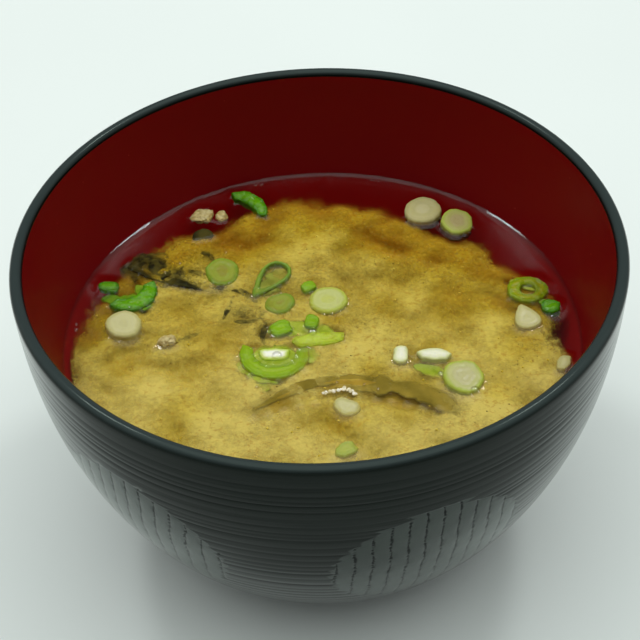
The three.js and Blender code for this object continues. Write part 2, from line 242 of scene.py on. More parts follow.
def add_node(tree, kind, inputs=(), **settings):
    """Adds a node. Its inputs are given by name or number, or in order. A socket is linked, and so is
    a node, by its first output in use. Any other input is a plain value. A setting named stops fills
    a colour ramp."""
    node = tree.nodes.new(kind)
    for name, value in settings.items():
        if name == "stops":
            fill_ramp(node.color_ramp, value)
        else:
            setattr(node, name, value)
    for name, value in inputs.items() if isinstance(inputs, dict) else enumerate(inputs):
        if isinstance(value, bpy.types.Node):
            value = next(socket for socket in value.outputs if socket.enabled)
        if isinstance(value, bpy.types.NodeSocket):
            tree.links.new(value, node.inputs[name])
        else:
            node.inputs[name].default_value = value
    return node


def fill_ramp(color_ramp, stops):
    """Sets a ramp's stops, given as (place, colour)."""
    while len(color_ramp.elements) < len(stops):
        color_ramp.elements.new(1.0)
    for element, (place, colour) in zip(color_ramp.elements, stops):
        element.position = place
        element.color = linear(colour)


def new_material(name):
    """An empty node material, and add_node for its tree."""
    material = bpy.data.materials.new(name)
    material.use_nodes = True
    material.node_tree.nodes.clear()
    return material, partial(add_node, material.node_tree)


def texture_scale(size):
    """The scale of a texture whose features have a size in mm."""
    return 1.0 / (size * MM)


def link_object(name, mesh):
    """A new object in the scene."""
    piece = bpy.data.objects.new(name, mesh)
    bpy.context.scene.collection.objects.link(piece)
    return piece


def write_attribute(mesh, name, values):
    """Stores a number for each point of a mesh."""
    layer = mesh.attributes.new(name, "FLOAT", "POINT")
    layer.data.foreach_set("value", np.asarray(values, np.float32))


def write_mesh(name, points, faces, materials, face_material=None, attributes=None):
    """Makes a smooth-shaded object from points in mm, with its place in its mesh."""
    mesh = bpy.data.meshes.new(name)
    mesh.from_pydata((np.asarray(points) * MM).tolist(), [], faces)
    for material in materials:
        mesh.materials.append(material)
    if face_material is not None:
        mesh.polygons.foreach_set("material_index", face_material)
    mesh.polygons.foreach_set("use_smooth", [True] * len(mesh.polygons))
    for key, values in (attributes or {}).items():
        write_attribute(mesh, key, values)
    mesh.update()
    return link_object(name, mesh)


def attach(piece, slot, *nodes):
    """Makes a finished piece ride on the bowl's body, in place of any nodes that are named."""
    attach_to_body(piece, BODY)
    if nodes:
        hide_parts(*nodes)


def bake_modifiers(piece):
    """Turns an object into the plain mesh that its modifiers make."""
    evaluated = piece.evaluated_get(bpy.context.evaluated_depsgraph_get())
    mesh = bpy.data.meshes.new_from_object(evaluated)
    piece.modifiers.clear()
    piece.data = mesh
    mesh.name = piece.name
    mesh.polygons.foreach_set("use_smooth", [True] * len(mesh.polygons))
    return piece


def mesh_points(mesh):
    """A mesh's points in mm."""
    return np.array([corner.co for corner in mesh.vertices]) / MM


def circle(radius, height, azimuths):
    """Points round the bowl, with azimuth 0 in front and a quarter turn at the right."""
    radius, height = np.broadcast_arrays(radius, height)[:2]
    x, y = radius * np.sin(azimuths), -radius * np.cos(azimuths)
    return np.column_stack([x, y, np.broadcast_to(height, len(azimuths))])


def ring_faces(first, second, count):
    """Quads between two rings of points that start at the given indices, outer side first."""
    around = np.arange(count)
    after = (around + 1) % count
    return np.stack([first + around, first + after, second + after, second + around], 1).tolist()


def seam_faces(low, low_count, high, high_count):
    """Faces between two rings, one of which may have several times as many points."""
    if low_count == high_count:
        return ring_faces(low, high, low_count)
    faces = []
    fewer = min(low_count, high_count)
    ratio = max(low_count, high_count) // fewer
    for i in range(fewer):
        if low_count < high_count:
            upper = [high + (ratio * (i + 1) - n) % high_count for n in range(ratio + 1)]
            faces.append((low + i, low + (i + 1) % low_count, *upper))
        else:
            lower = [low + (ratio * i + n) % low_count for n in range(ratio + 1)]
            faces.append((*lower, high + (i + 1) % high_count, high + i))
    return faces


def fan_faces(ring, centre, count, up):
    """Triangles from a ring to its centre, facing up or down."""
    faces = []
    for i in range(count):
        j = (i + 1) % count
        faces.append((ring + i, ring + j, centre) if up else (ring + j, ring + i, centre))
    return faces


def noise_at(points, size, seed, octaves=3):
    """Soft noise from -1 to 1 at points in mm, with features of about that size."""
    offset = Vector((seed, seed * 1.7, seed * 2.3))
    return np.array([noise.fractal(Vector(p) / size + offset, 1.0, 2.0, octaves) for p in points])


# ---------------------------------------------------------------- bowl


def rows_between(above, below):
    """Plain rows that fill the wall between two grooves, as (depth, cut)."""
    widest_gap = 1.2
    gaps = math.ceil(np.mean(below - above) / widest_gap)
    return [(above + (below - above) * gap / gaps, 0.0) for gap in range(1, gaps)]


def wall_rows(azimuths):
    """Rows of the outside wall from the lip down, as (depth, cut). Four rows follow each groove,
    which wanders a little, is deeper at some places than at others and has its own width."""
    first_seed, wander = 5, 0.1
    profile = ((-1.0, 0.0), (-0.35, 1.0), (0.35, 1.0), (1.0, 0.0))
    rows = []
    above = np.full_like(azimuths, LIP_RADIUS)
    for number, depth in enumerate(GROOVE_DEPTHS):
        random = np.random.default_rng(number + first_seed)
        half_width = random.uniform(0.2, 0.34)
        wave = np.sin(random.integers(2, 5) * azimuths + random.uniform(0.0, FULL_TURN))
        strength = random.uniform(0.35, 1.0) * (0.85 + 0.15 * wave)
        middle = depth + wander * wave
        rows += rows_between(above, middle - half_width)
        for place, share in profile:
            rows.append((middle + place * half_width, share * strength))
        above = middle + half_width
    end = np.full_like(azimuths, OUTSIDE_END_DEPTH)
    return rows + rows_between(above, end) + [(end, 0.0)]


def patch_places(depths, azimuths):
    """Place on the nearest patch: sideways, down and inwards from its centre, and its number."""
    step = FULL_TURN / PATCHES["count"]
    turned = azimuths - math.radians(PATCHES["first_angle"])
    number = np.round(turned / step)
    off_angle = turned - number * step
    radius = curve_radius(OUTSIDE, depths)
    side = radius * np.sin(off_angle)
    inward = curve_radius(OUTSIDE, PATCHES["depth"]) - radius * np.cos(off_angle)
    return side, depths - PATCHES["depth"], inward, (number % PATCHES["count"]).astype(int)


def patch_distance(side, down, inward):
    """Distance in mm outside the scalloped edge of a patch, negative on the patch."""
    away = np.sqrt(side**2 + down**2 + inward**2)
    distance = away - PATCHES["radius"]
    for depth, pace in SCALLOPS:
        distance = distance - depth * np.sin(down * pace)
    return distance


def grain_place(side, down, number):
    """Where a point lies across the carved grain lines, which are at the whole numbers."""
    lean = np.array(GRAIN_LEANS)[number]
    wobble = 0.12 * np.sin(down * 0.5 + number * 2.0) + 0.07 * np.sin(down * 1.3 + number)
    return (side - lean * down + wobble) / GRAIN_SPACING + 0.5


def carved_ring(depths, groove, azimuths, settings):
    """One row of the carved wall: its points, and what the lacquer is told of each."""
    softness, line_reach = 0.3, 0.55
    side, down, inward, number = patch_places(depths, azimuths)
    edge = patch_distance(side, down, inward)
    on_patch = smooth_step(softness, -softness, edge)
    groove = groove * (1.0 - on_patch)
    place = grain_place(side, down, number)
    off_line = np.abs(place - np.round(place)) * GRAIN_SPACING
    worn = 0.6 + 0.4 * np.sin(down * 1.1 + np.round(place) * 2.0)
    line = np.clip(1.0 - off_line / line_reach, 0.0, 1.0) * worn * on_patch
    cut = (groove * settings.groove_depth + line * settings.grain_depth) / MM
    points = circle(curve_radius(OUTSIDE, depths) - cut, BOWL_HEIGHT - depths, azimuths)
    return points, {"carved": groove, "patch_edge": edge, "grain_place": place, "grain_down": down}


def bowl_piece(settings):
    """The whole bowl as one closed shell, fine on the carved outside and coarse inside."""
    fine, coarse = 600, 150
    fine_azimuths = FULL_TURN * np.arange(fine) / fine
    coarse_azimuths = FULL_TURN * np.arange(coarse) / coarse
    foot = [
        (FOOT["inner"] - FOOT["lean"], FOOT["recess"]),
        (FOOT["inner"], FOOT_ROUNDING),
        (FOOT["inner"] + FOOT_ROUNDING, 0.0),
        (FOOT["bottom"] - FOOT_ROUNDING, 0.0),
        (FOOT["bottom"], FOOT_ROUNDING),
        (FOOT["top"], FOOT["height"]),
        (FOOT["top"] + 1.0, FOOT["height"] + 0.35),
    ]
    lip_centre = (RIM_RADIUS + INSIDE["rim"]) / 2.0
    lip = []
    for angle in np.linspace(0.0, math.pi, 13):
        height = BOWL_HEIGHT - LIP_RADIUS + LIP_RADIUS * math.sin(angle)
        lip.append((lip_centre + LIP_RADIUS * math.cos(angle), height))
    inner_depths = [1.8, 3, 5, 8, 12, 16, 20, 24, 28, 33, 38, 43, 48, 52, 56, 59, 61, 62.5, 63.3]

    rings = [circle(radius, height, coarse_azimuths) for radius, height in foot]
    plain = {"carved": 0.0, "patch_edge": FAR_OFF, "grain_place": 0.0, "grain_down": 0.0}
    told = [plain] * len(rings)
    for depths, groove in wall_rows(fine_azimuths)[::-1]:
        points, values = carved_ring(depths, groove, fine_azimuths, settings)
        rings.append(points)
        told.append(values)
    rings += [circle(radius, height, fine_azimuths) for radius, height in lip]
    red_from = len(rings)
    rings += [circle(curve_radius(INSIDE, d), BOWL_HEIGHT - d, coarse_azimuths) for d in inner_depths]
    told += [plain] * (len(rings) - len(told))

    counts = [len(ring) for ring in rings]
    starts = [sum(counts[:k]) for k in range(len(rings))]
    faces, red = [], []
    for k in range(len(rings) - 1):
        seam = seam_faces(starts[k], counts[k], starts[k + 1], counts[k + 1])
        faces += seam
        red += [1 if k + 1 >= red_from else 0] * len(seam)
    middles = [[0.0, 0.0, FOOT["recess"]], [0.0, 0.0, BOWL_HEIGHT - INSIDE["reach"]]]
    points = np.vstack([*rings, middles])
    faces += fan_faces(starts[0], len(points) - 2, coarse, up=False)
    faces += fan_faces(starts[-1], len(points) - 1, coarse, up=True)
    red += [0] * coarse + [1] * coarse

    attributes = {}
    for key, value in plain.items():
        columns = [np.broadcast_to(values[key], n) for values, n in zip(told, counts)]
        attributes[key] = np.concatenate([*columns, [value, value]])
    steps = [np.linalg.norm(b[0] - a[0]) for a, b in zip(rings, rings[1:])]
    girth = np.repeat(np.cumsum([0.0, *steps]), counts)
    attributes["girth"] = np.concatenate([girth, [0.0, 0.0]])
    materials = [black_lacquer(settings), red_lacquer(settings)]
    return write_mesh("lacquer_bowl", points, faces, materials, red, attributes)


def tool_marks(add, place):
    """Fine marks of the turning tool: under a millimetre up the wall and long round it."""
    across, mark_height = (20.0, 20.0, 0.0), 0.9
    around = add("ShaderNodeVectorMath", (place, across), operation="MULTIPLY")
    girth = add(ATTRIBUTE, attribute_name="girth").outputs["Fac"]
    up_wall = add(MATH, (girth, 1.0 / mark_height), operation="MULTIPLY")
    lifted = add("ShaderNodeCombineXYZ", {"Z": up_wall})
    marks_at = add("ShaderNodeVectorMath", (around, lifted), operation="ADD")
    return add(NOISE, {"Vector": marks_at, "Scale": 1.0, "Detail": 3.0, "Roughness": 0.65})


def grain_lines(add):
    """The carved grain lines, which jog and swell at random and are 0.4 to 1 mm wide."""
    jog_reach = 0.26
    across = add(ATTRIBUTE, attribute_name="grain_place").outputs["Fac"]
    down = add(ATTRIBUTE, attribute_name="grain_down").outputs["Fac"]
    spot = add("ShaderNodeCombineXYZ", {"X": across, "Y": down})
    jog = add(NOISE, {"Vector": spot, "Scale": 1.6, "Detail": 3.0})
    jogged = add(MATH, (jog, jog_reach, across), operation="MULTIPLY_ADD")
    centred = add(MATH, (jogged, jog_reach / 2.0), operation="SUBTRACT")
    off_line = add(MATH, (centred, 0.5), operation="PINGPONG")
    swell = add(NOISE, {"Vector": spot, "Scale": 0.9, "Detail": 1.0})
    width = add(RANGE, (swell, 0.35, 0.65, 0.07, 0.16), **SMOOTH)
    share = add(MATH, (off_line, width), operation="DIVIDE")
    line = add(RANGE, (share, 1.0, 0.3, 0.0, 0.85), **SMOOTH)
    strength = add(RANGE, (jog, 0.36, 0.5, 0.25, 1.0), **SMOOTH)
    return add(MATH, (line, strength), operation="MULTIPLY")


def black_lacquer(settings):
    """Black urethane lacquer over turned wood. It is satin on the turned wall, where fine tool
    marks break up its shine, and glossy on the patches, whose colour is painted lighter for their sheen.
    The lip is painted grey for its sheen, and the cuts are painted near-black for the shade in them and lose
    their shine."""
    material, add = new_material("black_urethane_lacquer")
    place = add(PLACE).outputs["Object"]
    marks = tool_marks(add, place)
    edge = add(ATTRIBUTE, attribute_name="patch_edge").outputs["Fac"]
    patch = add(RANGE, (edge, 0.25, -0.25), **SMOOTH)
    off_patch = add(RANGE, (patch, 1.0, 0.0), **SMOOTH)
    line = add(MATH, (grain_lines(add), patch), operation="MULTIPLY")
    carved = add(ATTRIBUTE, attribute_name="carved").outputs["Fac"]
    groove = add(MATH, (carved, 0.6), operation="MULTIPLY")
    cut = add(MATH, (groove, line), operation="MAXIMUM")

    wear = add(RANGE, (marks, 0.5, 0.36), **SMOOTH)
    worn = add(MATH, (wear, off_patch), operation="MULTIPLY")
    dulled = add(MATH, (worn, 0.3), operation="MULTIPLY")
    dull = add(MATH, (cut, dulled), operation="MAXIMUM")
    unworn = add(RANGE, (dull, 0.0, 1.0, 1.0, 0.1), **SMOOTH)
    satin = add(RANGE, (patch, 0.0, 1.0, 0.17, 0.46), **SMOOTH)
    turned = add("ShaderNodeLayerWeight", {"Blend": 0.5}).outputs["Facing"]
    glancing = add(RANGE, (turned, 0.6, 0.88, 1.0, 4.0), **SMOOTH)
    shine = add(MATH, (satin, glancing), operation="MULTIPLY")

    # The patches' lighter colour is painted sheen, and so is the grey on the lip.
    sheen_lift, lip_sheen_low, lip_sheen_high = 1.7, BOWL_HEIGHT - 0.9, BOWL_HEIGHT - 0.15
    painted_sheen = linear([c * sheen_lift for c in settings.outside])
    body = add(MIX, {0: patch, 6: linear(settings.outside), 7: painted_sheen}, **COLOURS)
    height = add(SPLIT, (place,)).outputs["Z"]
    # Grey painted on the top of the lip: painted sheen.
    lip_sheen = add(RANGE, (height, lip_sheen_low * MM, lip_sheen_high * MM), **SMOOTH)
    body = add(MIX, {0: lip_sheen, 6: body, 7: linear("#303938")}, **COLOURS)
    nearly_smooth = add(RANGE, (patch, 1.0, 0.0, 0.1, 1.0), **SMOOTH)
    relief = add(MATH, (marks, nearly_smooth), operation="MULTIPLY")
    sunk = add(MATH, (line, -1.0, relief), operation="MULTIPLY_ADD")
    look = {
        # The grooves and grain lines are painted near-black: painted shade.
        "Base Color": add(MIX, {0: cut, 6: body, 7: linear("#020303")}, **COLOURS),
        "Roughness": add(RANGE, (patch, 0.0, 1.0, 0.13, 0.08), **SMOOTH),
        "Normal": add(BUMP, {"Height": sunk, "Strength": 0.35, "Distance": 0.1 * MM}),
        "IOR": 1.4,
        "Specular IOR Level": add(MATH, (shine, unworn), operation="MULTIPLY"),
        "Specular Tint": linear("#e4ffef"),
    }
    add(OUTPUT, {"Surface": add(SHADER, look)})
    return material


def red_lacquer(settings):
    """Vermilion urethane lacquer, sprayed and left satin, with motes of dust caught in it. Below the
    broth's level its colour is painted brighter: painted light on the wet wall."""
    material, add = new_material("red_urethane_lacquer")
    place = add(PLACE).outputs["Object"]
    motes = add("ShaderNodeTexVoronoi", {"Vector": place, "Scale": texture_scale(3.5)}).outputs
    mote = add(RANGE, (motes["Distance"], 0.06, 0.02), **SMOOTH)
    few = add(MATH, (motes["Color"], 0.62), operation="GREATER_THAN")
    shown = add(MATH, (mote, few), operation="MULTIPLY")
    # Below the broth's level the red is painted brighter: painted light.
    painted_glow, dry_above, wet_below = 1.32, SOUP_LEVEL + 1.2, SOUP_LEVEL - 0.5
    height = add(SPLIT, (place,)).outputs["Z"]
    wet = add(RANGE, (height, dry_above * MM, wet_below * MM), **SMOOTH)
    bright = linear([min(c * painted_glow, 1.0) for c in settings.inside])
    lacquer = add(MIX, {0: wet, 6: linear(settings.inside), 7: bright}, **COLOURS)
    peel = add(NOISE, {"Vector": place, "Scale": texture_scale(3.0), "Detail": 2.0})
    look = {
        "Base Color": add(MIX, {0: shown, 6: lacquer, 7: linear("#a8433c")}, **COLOURS),
        "Roughness": 0.34,
        "Normal": add(BUMP, {"Height": peel, "Strength": 0.15, "Distance": 0.05 * MM}),
        "IOR": 1.5,
        "Specular IOR Level": 0.08,
    }
    add(OUTPUT, {"Surface": add(SHADER, look)})
    return material


# ---------------------------------------------------------------- broth


def distance_in_plan(points, spots):
    """Distance from each (x, y) spot to the nearest of some points, seen from above."""
    tree = kdtree.KDTree(len(points))
    for i, point in enumerate(points):
        tree.insert((point[0], point[1], 0.0), i)
    tree.balance()
    return np.array([tree.find((x, y, 0.0))[2] for x, y in spots])


def surface_height(spots):
    """Height of the broth: flat, and drawn up at the wall and round whatever floats in it."""
    wall = inside_radius(CONTACT_HEIGHT)
    height = MENISCUS_HEIGHT * np.exp(-(wall - np.hypot(*spots.T)) / CAPILLARY_LENGTH)
    least, most, reach, margin = 0.12, 0.6, 0.9, 5.0
    for name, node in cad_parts.items():
        if name in ("bowl", "soup"):
            continue
        points = mesh_points(node.data)
        rise = min(max(points[:, 2].max() - SOUP_LEVEL, least), most)
        centre = points[:, :2].mean(0)
        near = np.hypot(*(spots - centre).T) < np.ptp(points[:, :2], 0).max() / 2.0 + margin
        height[near] += rise * np.exp(-distance_in_plan(points, spots[near]) / reach)
    return SOUP_LEVEL + height


def broth_piece():
    """The broth: a clear body up to its level, with a real meniscus."""
    count, overlap, rise_width, least_radius = 440, 0.05, 6.0, 0.5
    wall = inside_radius(CONTACT_HEIGHT) + overlap
    fine, coarse = np.arange(0.0, rise_width, 0.2), np.arange(rise_width, wall - 0.6, 0.5)
    radii = wall - np.concatenate([fine, coarse])
    angles = FULL_TURN * np.arange(count) / count
    ring = np.stack([np.cos(angles), np.sin(angles)], 1)
    top = (radii[:, None, None] * ring[None]).reshape(-1, 2)
    spots = np.vstack([top, [[0.0, 0.0]]])
    points = np.column_stack([spots, surface_height(spots)]).tolist()
    faces = []
    for k in range(len(radii) - 1):
        faces += ring_faces(k * count, (k + 1) * count, count)
    faces += fan_faces((len(radii) - 1) * count, len(radii) * count, count, up=True)
    surface_faces = len(faces)

    above = 0
    for level in np.linspace(CONTACT_HEIGHT, SOUP_FLOOR, 14)[1:]:
        start = len(points)
        radius = max(inside_radius(level) - WALL_GAP, least_radius)
        points += np.column_stack([radius * ring, np.full(count, level)]).tolist()
        faces += ring_faces(start, above, count)
        above = start
    points.append([0.0, 0.0, SOUP_FLOOR])
    faces += fan_faces(above, len(points) - 1, count, up=False)
    under = [0] * surface_faces + [1] * (len(faces) - surface_faces)
    return write_mesh("clear_broth", points, faces, [broth_surface(), broth_depth()], under)


def broth_surface():
    """The wet surface of the broth: as clear as water, with water's gloss."""
    material, add = new_material("broth_surface")
    gloss = add("ShaderNodeFresnel", {"IOR": 1.34})
    clear = add("ShaderNodeBsdfTransparent", {"Color": linear("#fefaf0")})
    shine = add("ShaderNodeBsdfGlossy", {"Roughness": 0.02})
    add(OUTPUT, {"Surface": add("ShaderNodeMixShader", (gloss, clear, shine))})
    return material


def broth_depth():
    """The unseen side of the broth, where it wets the bowl."""
    material, add = new_material("broth_depth")
    clear = add("ShaderNodeBsdfTransparent", {"Color": linear("#fff6e6")})
    add(OUTPUT, {"Surface": clear})
    return material


# ---------------------------------------------------------------- sunk garnish

# Blades that hang under the surface, each as its width, its ruffle and the corners of its spine,
# which are (x, y, depth below the soup).
SUNK_WAKAME = (
    (8.5, 0.8, (-42, 23, 1), (-37, 23, 0.6), (-32, 20.5, 0.4), (-27.5, 18, 0.5)),
    (5.5, 0.8, (-39.5, 26.5, 1.4), (-36, 25.5, 0.8), (-33, 22.5, 0.6)),
    (3.2, 0.6, (-33, 16, 0.8), (-33.5, 19, 0.5), (-31, 21.5, 0.5)),
    (1.6, 0.4, (-29, 18.5, 0.5), (-20.5, 15.8, 0.4), (-15, 13.7, 0.5), (-12.5, 10, 0.6)),
    (1.4, 0.4, (-12.5, 10, 0.6), (-11.3, 5, 0.8), (-11.8, 1, 1), (-11, -2, 1.3)),
    (1.8, 0.4, (-27.5, 21.5, 0.5), (-25, 20.5, 0.4), (-23.5, 18.5, 0.5)),
    (1.3, 0.4, (-25, 27, 0.5), (-23.3, 26.5, 0.4), (-22, 24.5, 0.6)),
    # This thin dark blade is painted shade under the edge of a sunk leaf.
    (0.9, 0.2, (-31.5, -1.6, 0.7), (-27.5, 1, 0.6), (-24, 3, 0.8)),
    (0.9, 0.2, (-17.6, 13.2, 0.5), (-18.6, 9.5, 0.4), (-19.8, 6.2, 0.5)),
    (1, 0.3, (-17.5, 5.6, 0.5), (-14.5, 5.2, 0.5), (-12, 6.5, 0.6)),
    (4.5, 0.6, (-18.4, 9.6, 1.2), (-15.5, 8.6, 1), (-12.8, 7.6, 1.2)),
)
SUNK_CREST = (
    (2.6, 0, (-14, -19.5, 0.6), (-4, -13.6, 0.4), (5, -12.3, 0.3), (14, -13.6, 0.4)),
    (5, 0, (4, -13.4, 0.4), (13, -14.6, 0.3), (19.5, -17, 0.35), (25.5, -21, 0.8)),
)
SUNK_LEAVES = (
    (5, 0.2, (-12.4, 12.6, 0.4), (-9.6, 17, 0.3), (-7.2, 21, 0.4)),
)
SUNK_SCALLION = (
    (5.5, 0.3, (-11, 2.2, 0.6), (-5, 2.6, 0.4), (2.5, 0.6, 0.6)),
    (7.5, 0.1, (-13.6, -4.4, 0.2), (-9.4, -6, 0.08), (-5.2, -4.4, 0.2)),
    (3.6, 0.3, (-16.6, -6, 0.6), (-13.5, -9.8, 0.4), (-8.5, -12, 0.6)),
    (3.4, 0.3, (-12.6, -10.2, 0.8), (-11.8, -12.4, 0.7), (-10.8, -14, 0.9)),
    (3, 0.3, (-4.6, -2.6, 0.7), (-2.2, -4.4, 0.6), (-2.6, -7, 0.9)),
    (3, 0.3, (17.5, -8.8, 0.7), (20.6, -10.2, 0.6), (23.5, -11, 0.9)),
    (3.4, 0.3, (39, 14.4, 0.5), (42.5, 13.4, 0.3), (46, 12, 0.5)),
)
SUNK_GREEN = (
    (4.2, 0.4, (-45, 14.6, 0.6), (-40.5, 12.4, 0.3), (-35.6, 12.6, 0.5)),
    (3.2, 0.4, (-38, 17.6, 0.5), (-35.6, 13.4, 0.3), (-36, 9.6, 0.6)),
    (2.6, 0.3, (44, 8.6, 0.5), (46.6, 6.4, 0.3), (47.6, 3.6, 0.5)),
)
SUNK_BLADES = (*SUNK_WAKAME, *SUNK_CREST, *SUNK_LEAVES, *SUNK_SCALLION, *SUNK_GREEN)

# The curve of the front blade of wakame, as its width, its ruffle and corners, like those above.
FRONT_BLADE = (6, 0, (-13, -20.5, 1), (-6, -16, 0.8), (3, -14.5, 0.6), (13, -16.5, 0.8), (20, -20.5, 1))


def curve_through(corners, count):
    """Evenly shared points on a smooth curve through some corners."""
    corners = np.array(corners, float)
    ends = np.vstack([2 * corners[0] - corners[1], corners, 2 * corners[-1] - corners[-2]])
    steps = np.linspace(0.0, len(corners) - 1.0, count)
    first = np.minimum(steps.astype(int), len(corners) - 2)
    t = (steps - first)[:, None]
    a, b, c, d = (ends[first + i] for i in range(4))
    square, cube = 2 * a - 5 * b + 4 * c - d, 3 * b - a - 3 * c + d
    return 0.5 * (2 * b + (c - a) * t + square * t**2 + cube * t**3)


def sunk_blade(name, blade, material, seed):
    """A thin, ragged and ruffled blade under the surface, which stores how far in from its margin
    each point lies, from 0 to 1."""
    columns, rows, thickness = 48, 9, 0.2
    tear, tear_size, ruffle_size = 0.45, 2.2, 3.0
    shares = np.linspace(-1.0, 1.0, rows)
    width, ruffle, *corners = blade
    spine = curve_through(corners, columns)
    along = np.gradient(spine[:, :2], axis=0)
    along /= np.linalg.norm(along, axis=1)[:, None]
    across = np.column_stack([-along[:, 1], along[:, 0]])
    taper = np.sqrt(np.maximum(1.0 - np.abs(np.linspace(-1.0, 1.0, columns)) ** 3, 0.02))
    flat = np.column_stack([spine[:, :2], np.full(columns, seed)])
    half_width = width / 2.0 * taper * (1.0 + tear * noise_at(flat, tear_size, seed))
    strips = []
    for share in shares:
        place = spine[:, :2] + across * (share * half_width)[:, None]
        wave = ruffle * noise_at(np.column_stack([place, flat[:, 2]]), ruffle_size, seed, 2)
        strips.append(np.column_stack([place, SOUP_LEVEL - spine[:, 2] + wave]))
    top = np.stack(strips, 1).reshape(-1, 3)
    lift = np.array([0.0, 0.0, thickness / 2.0])
    below = len(top)
    faces = []
    for i in range(columns - 1):
        for j in range(rows - 1):
            a, b = i * rows + j, (i + 1) * rows + j
            faces += [(a, b, b + 1, a + 1), (below + a, below + a + 1, below + b + 1, below + b)]
        left, right = i * rows, i * rows + rows - 1
        faces.append((below + left, below + left + rows, left + rows, left))
        faces.append((right, right + rows, below + right + rows, below + right))
    last = (columns - 1) * rows
    for j in range(rows - 1):
        faces.append((j, j + 1, below + j + 1, below + j))
        faces.append((below + last + j, below + last + j + 1, last + j + 1, last + j))
    ends = 1.0 - np.linspace(-1.0, 1.0, columns) ** 4
    margin = np.outer(ends, 1.0 - np.abs(shares)).ravel()
    told = {"margin": np.concatenate([margin, margin])}
    points = np.vstack([top + lift, top - lift])
    return write_mesh(name, points, faces, [material], None, told)


# ---------------------------------------------------------------- miso cloud

# The bed's usual depth below the soup, and the haze over it: the depth of each layer, and how much
# of it the puffs fill, as a shift of their noise.
BED_DEPTH = 2.5
HAZE_LAYERS = ((0.25, -0.01), (0.65, 0.04), (1.15, 0.08), (1.75, 0.12))

# Blades that the haze thins out over, how much, and how far past their edges in mm.
THINNED_OVER = (
    ((*SUNK_WAKAME, *SUNK_LEAVES), 0.06, 0.3),
    ((*SUNK_SCALLION, *SUNK_GREEN), 0.2, 0.0),
    ((*SUNK_CREST, FRONT_BLADE), 0.09, 0.3),
)

# Clear broth between the cloud of miso and the wall, as (azimuth in degrees, gap in mm). Azimuth
# is 0 at the right and 90 at the back.
CLOUD_GAPS = (
    (-174, 1.8), (-160, 0.8), (-90, 0.4), (-30, 1.0), (-10, 3.0), (-3, 6.5), (2, 5.5), (8, 3.0),
    (18, 4.5), (28, 8.8), (36, 8.0), (44, 10.4), (55, 12.0), (66, 9.8), (71, 8.8), (76, 10.5),
    (82, 8.0), (94, 6.6), (105, 7.0), (114, 10), (123, 10.8), (132, 7.0), (141, 7.0), (150, 5.0),
    (163, 4.6), (172, 2.9),
)

# Places where the miso lies deeper and shows amber, as (x, y, radius, amount).
DEEPER = (
    (-26.5, -18, 4.5, 0.6), (-29, -24, 4, 0.4), (3.5, -23, 4, 1), (24, 21, 8, 0.5), (28.5, 9, 6, 0.7),
    (-13, 31, 4, 0.6), (-2, 33, 4, 0.4), (12, 30, 6, 0.5), (33, -17, 4, 0.6), (-30, 8, 6, 0.3),
    (-40, -6, 3, 0.4), (14, -17, 6, 0.7), (-2, -19, 4, 0.4), (13, 9, 4, 0.4), (20, 27, 6, 0.5),
    (22, -4.5, 3, 0.5), (36, 8, 3, 0.7), (-46, 2, 3, 0.6), (19, 35, 4, 0.7), (2.5, 5.5, 2.5, 0.8),
    (-17, 24, 4, 0.5), (9, -9.5, 3, 0.6), (38, -6, 5, 0.6), (-24, -1, 6, 0.3),
)

# Places where fine wakame dust darkens and greens the miso, as (x, y, radius, amount).
DUSTED = (
    (-34, 22, 8, 1), (-25, 20, 6, 0.9), (-11.5, 4, 3, 1), (-14, 10, 4, 0.6), (-12, -1, 2.5, 0.7),
    (2, 20, 8, 0.7), (22, 16, 4, 0.4), (9, 3, 4, 0.5), (8, -11, 6, 0.6), (24, -20, 6, 0.6),
    (-10, -14, 5, 0.4), (-32, 0, 5, 0.5), (38, -4, 5, 0.35), (-45, -3, 3, 0.5), (14, 1, 4, 0.4),
    (35, -14, 5, 0.3), (44, 1, 3, 0.6), (-20, 30, 5, 0.4), (-5, 15, 4, 0.5), (15, 20, 5, 0.3),
)


def cloud_edge(angles):
    """Radius of the cloud of miso at each azimuth, in radians."""
    first, last = CLOUD_GAPS[0], CLOUD_GAPS[-1]
    corners = [(last[0] - 360.0, last[1]), *CLOUD_GAPS, (first[0] + 360.0, first[1])]
    places, gaps = np.array(corners).T
    degrees = (np.degrees(angles) + 180.0) % 360.0 - 180.0
    return inside_radius(SOUP_LEVEL) - np.interp(degrees, places, gaps)


def spread(spots, blobs):
    """Sum of soft round blobs at (x, y) places, from 0 to 1."""
    total = np.zeros(len(spots))
    for x, y, radius, amount in blobs:
        away = np.hypot(spots[:, 0] - x, spots[:, 1] - y) / radius
        total += amount * np.exp(-(away**2))
    return np.clip(total, 0.0, 1.0)


def over_blades(blades, spots, margin):
    """1 over each of some blades and 0 past a margin round it, and how deep the blade there hangs."""
    softness, ruffle_share = 1.4, 0.6
    near = np.zeros(len(spots))
    hangs = np.zeros(len(spots))
    for width, ruffle, *corners in blades:
        spine = curve_through(corners, 24)
        away = distance_in_plan(spine, spots)
        edge = width / 2.0 + margin
        here = smooth_step(edge, edge - softness, away)
        near = np.maximum(near, here)
        hangs = np.maximum(hangs, here * (spine[:, 2].max() + ruffle * ruffle_share))
    return near, hangs


def warmth(spots, beyond):
    """How amber the miso is, up to 1: where it lies deeper, and towards its far edge. It is painted
    more amber towards the back and paler towards the front, as painted shade and painted light, and
    is below 0 at the near side, which is palest."""
    far = smooth_step(-15.0, 20.0, spots[:, 1])
    edge = far * smooth_step(-11.0, -1.0, beyond)
    # Darker towards the back and paler towards the front: painted shade and painted light.
    back = smooth_step(-15.0, 35.0, spots[:, 1])
    near = smooth_step(2.0, -24.0, spots[:, 1])
    return np.clip(0.9 * spread(spots, DEEPER) + edge + 0.35 * back - 0.25 * near, -0.3, 1.0)


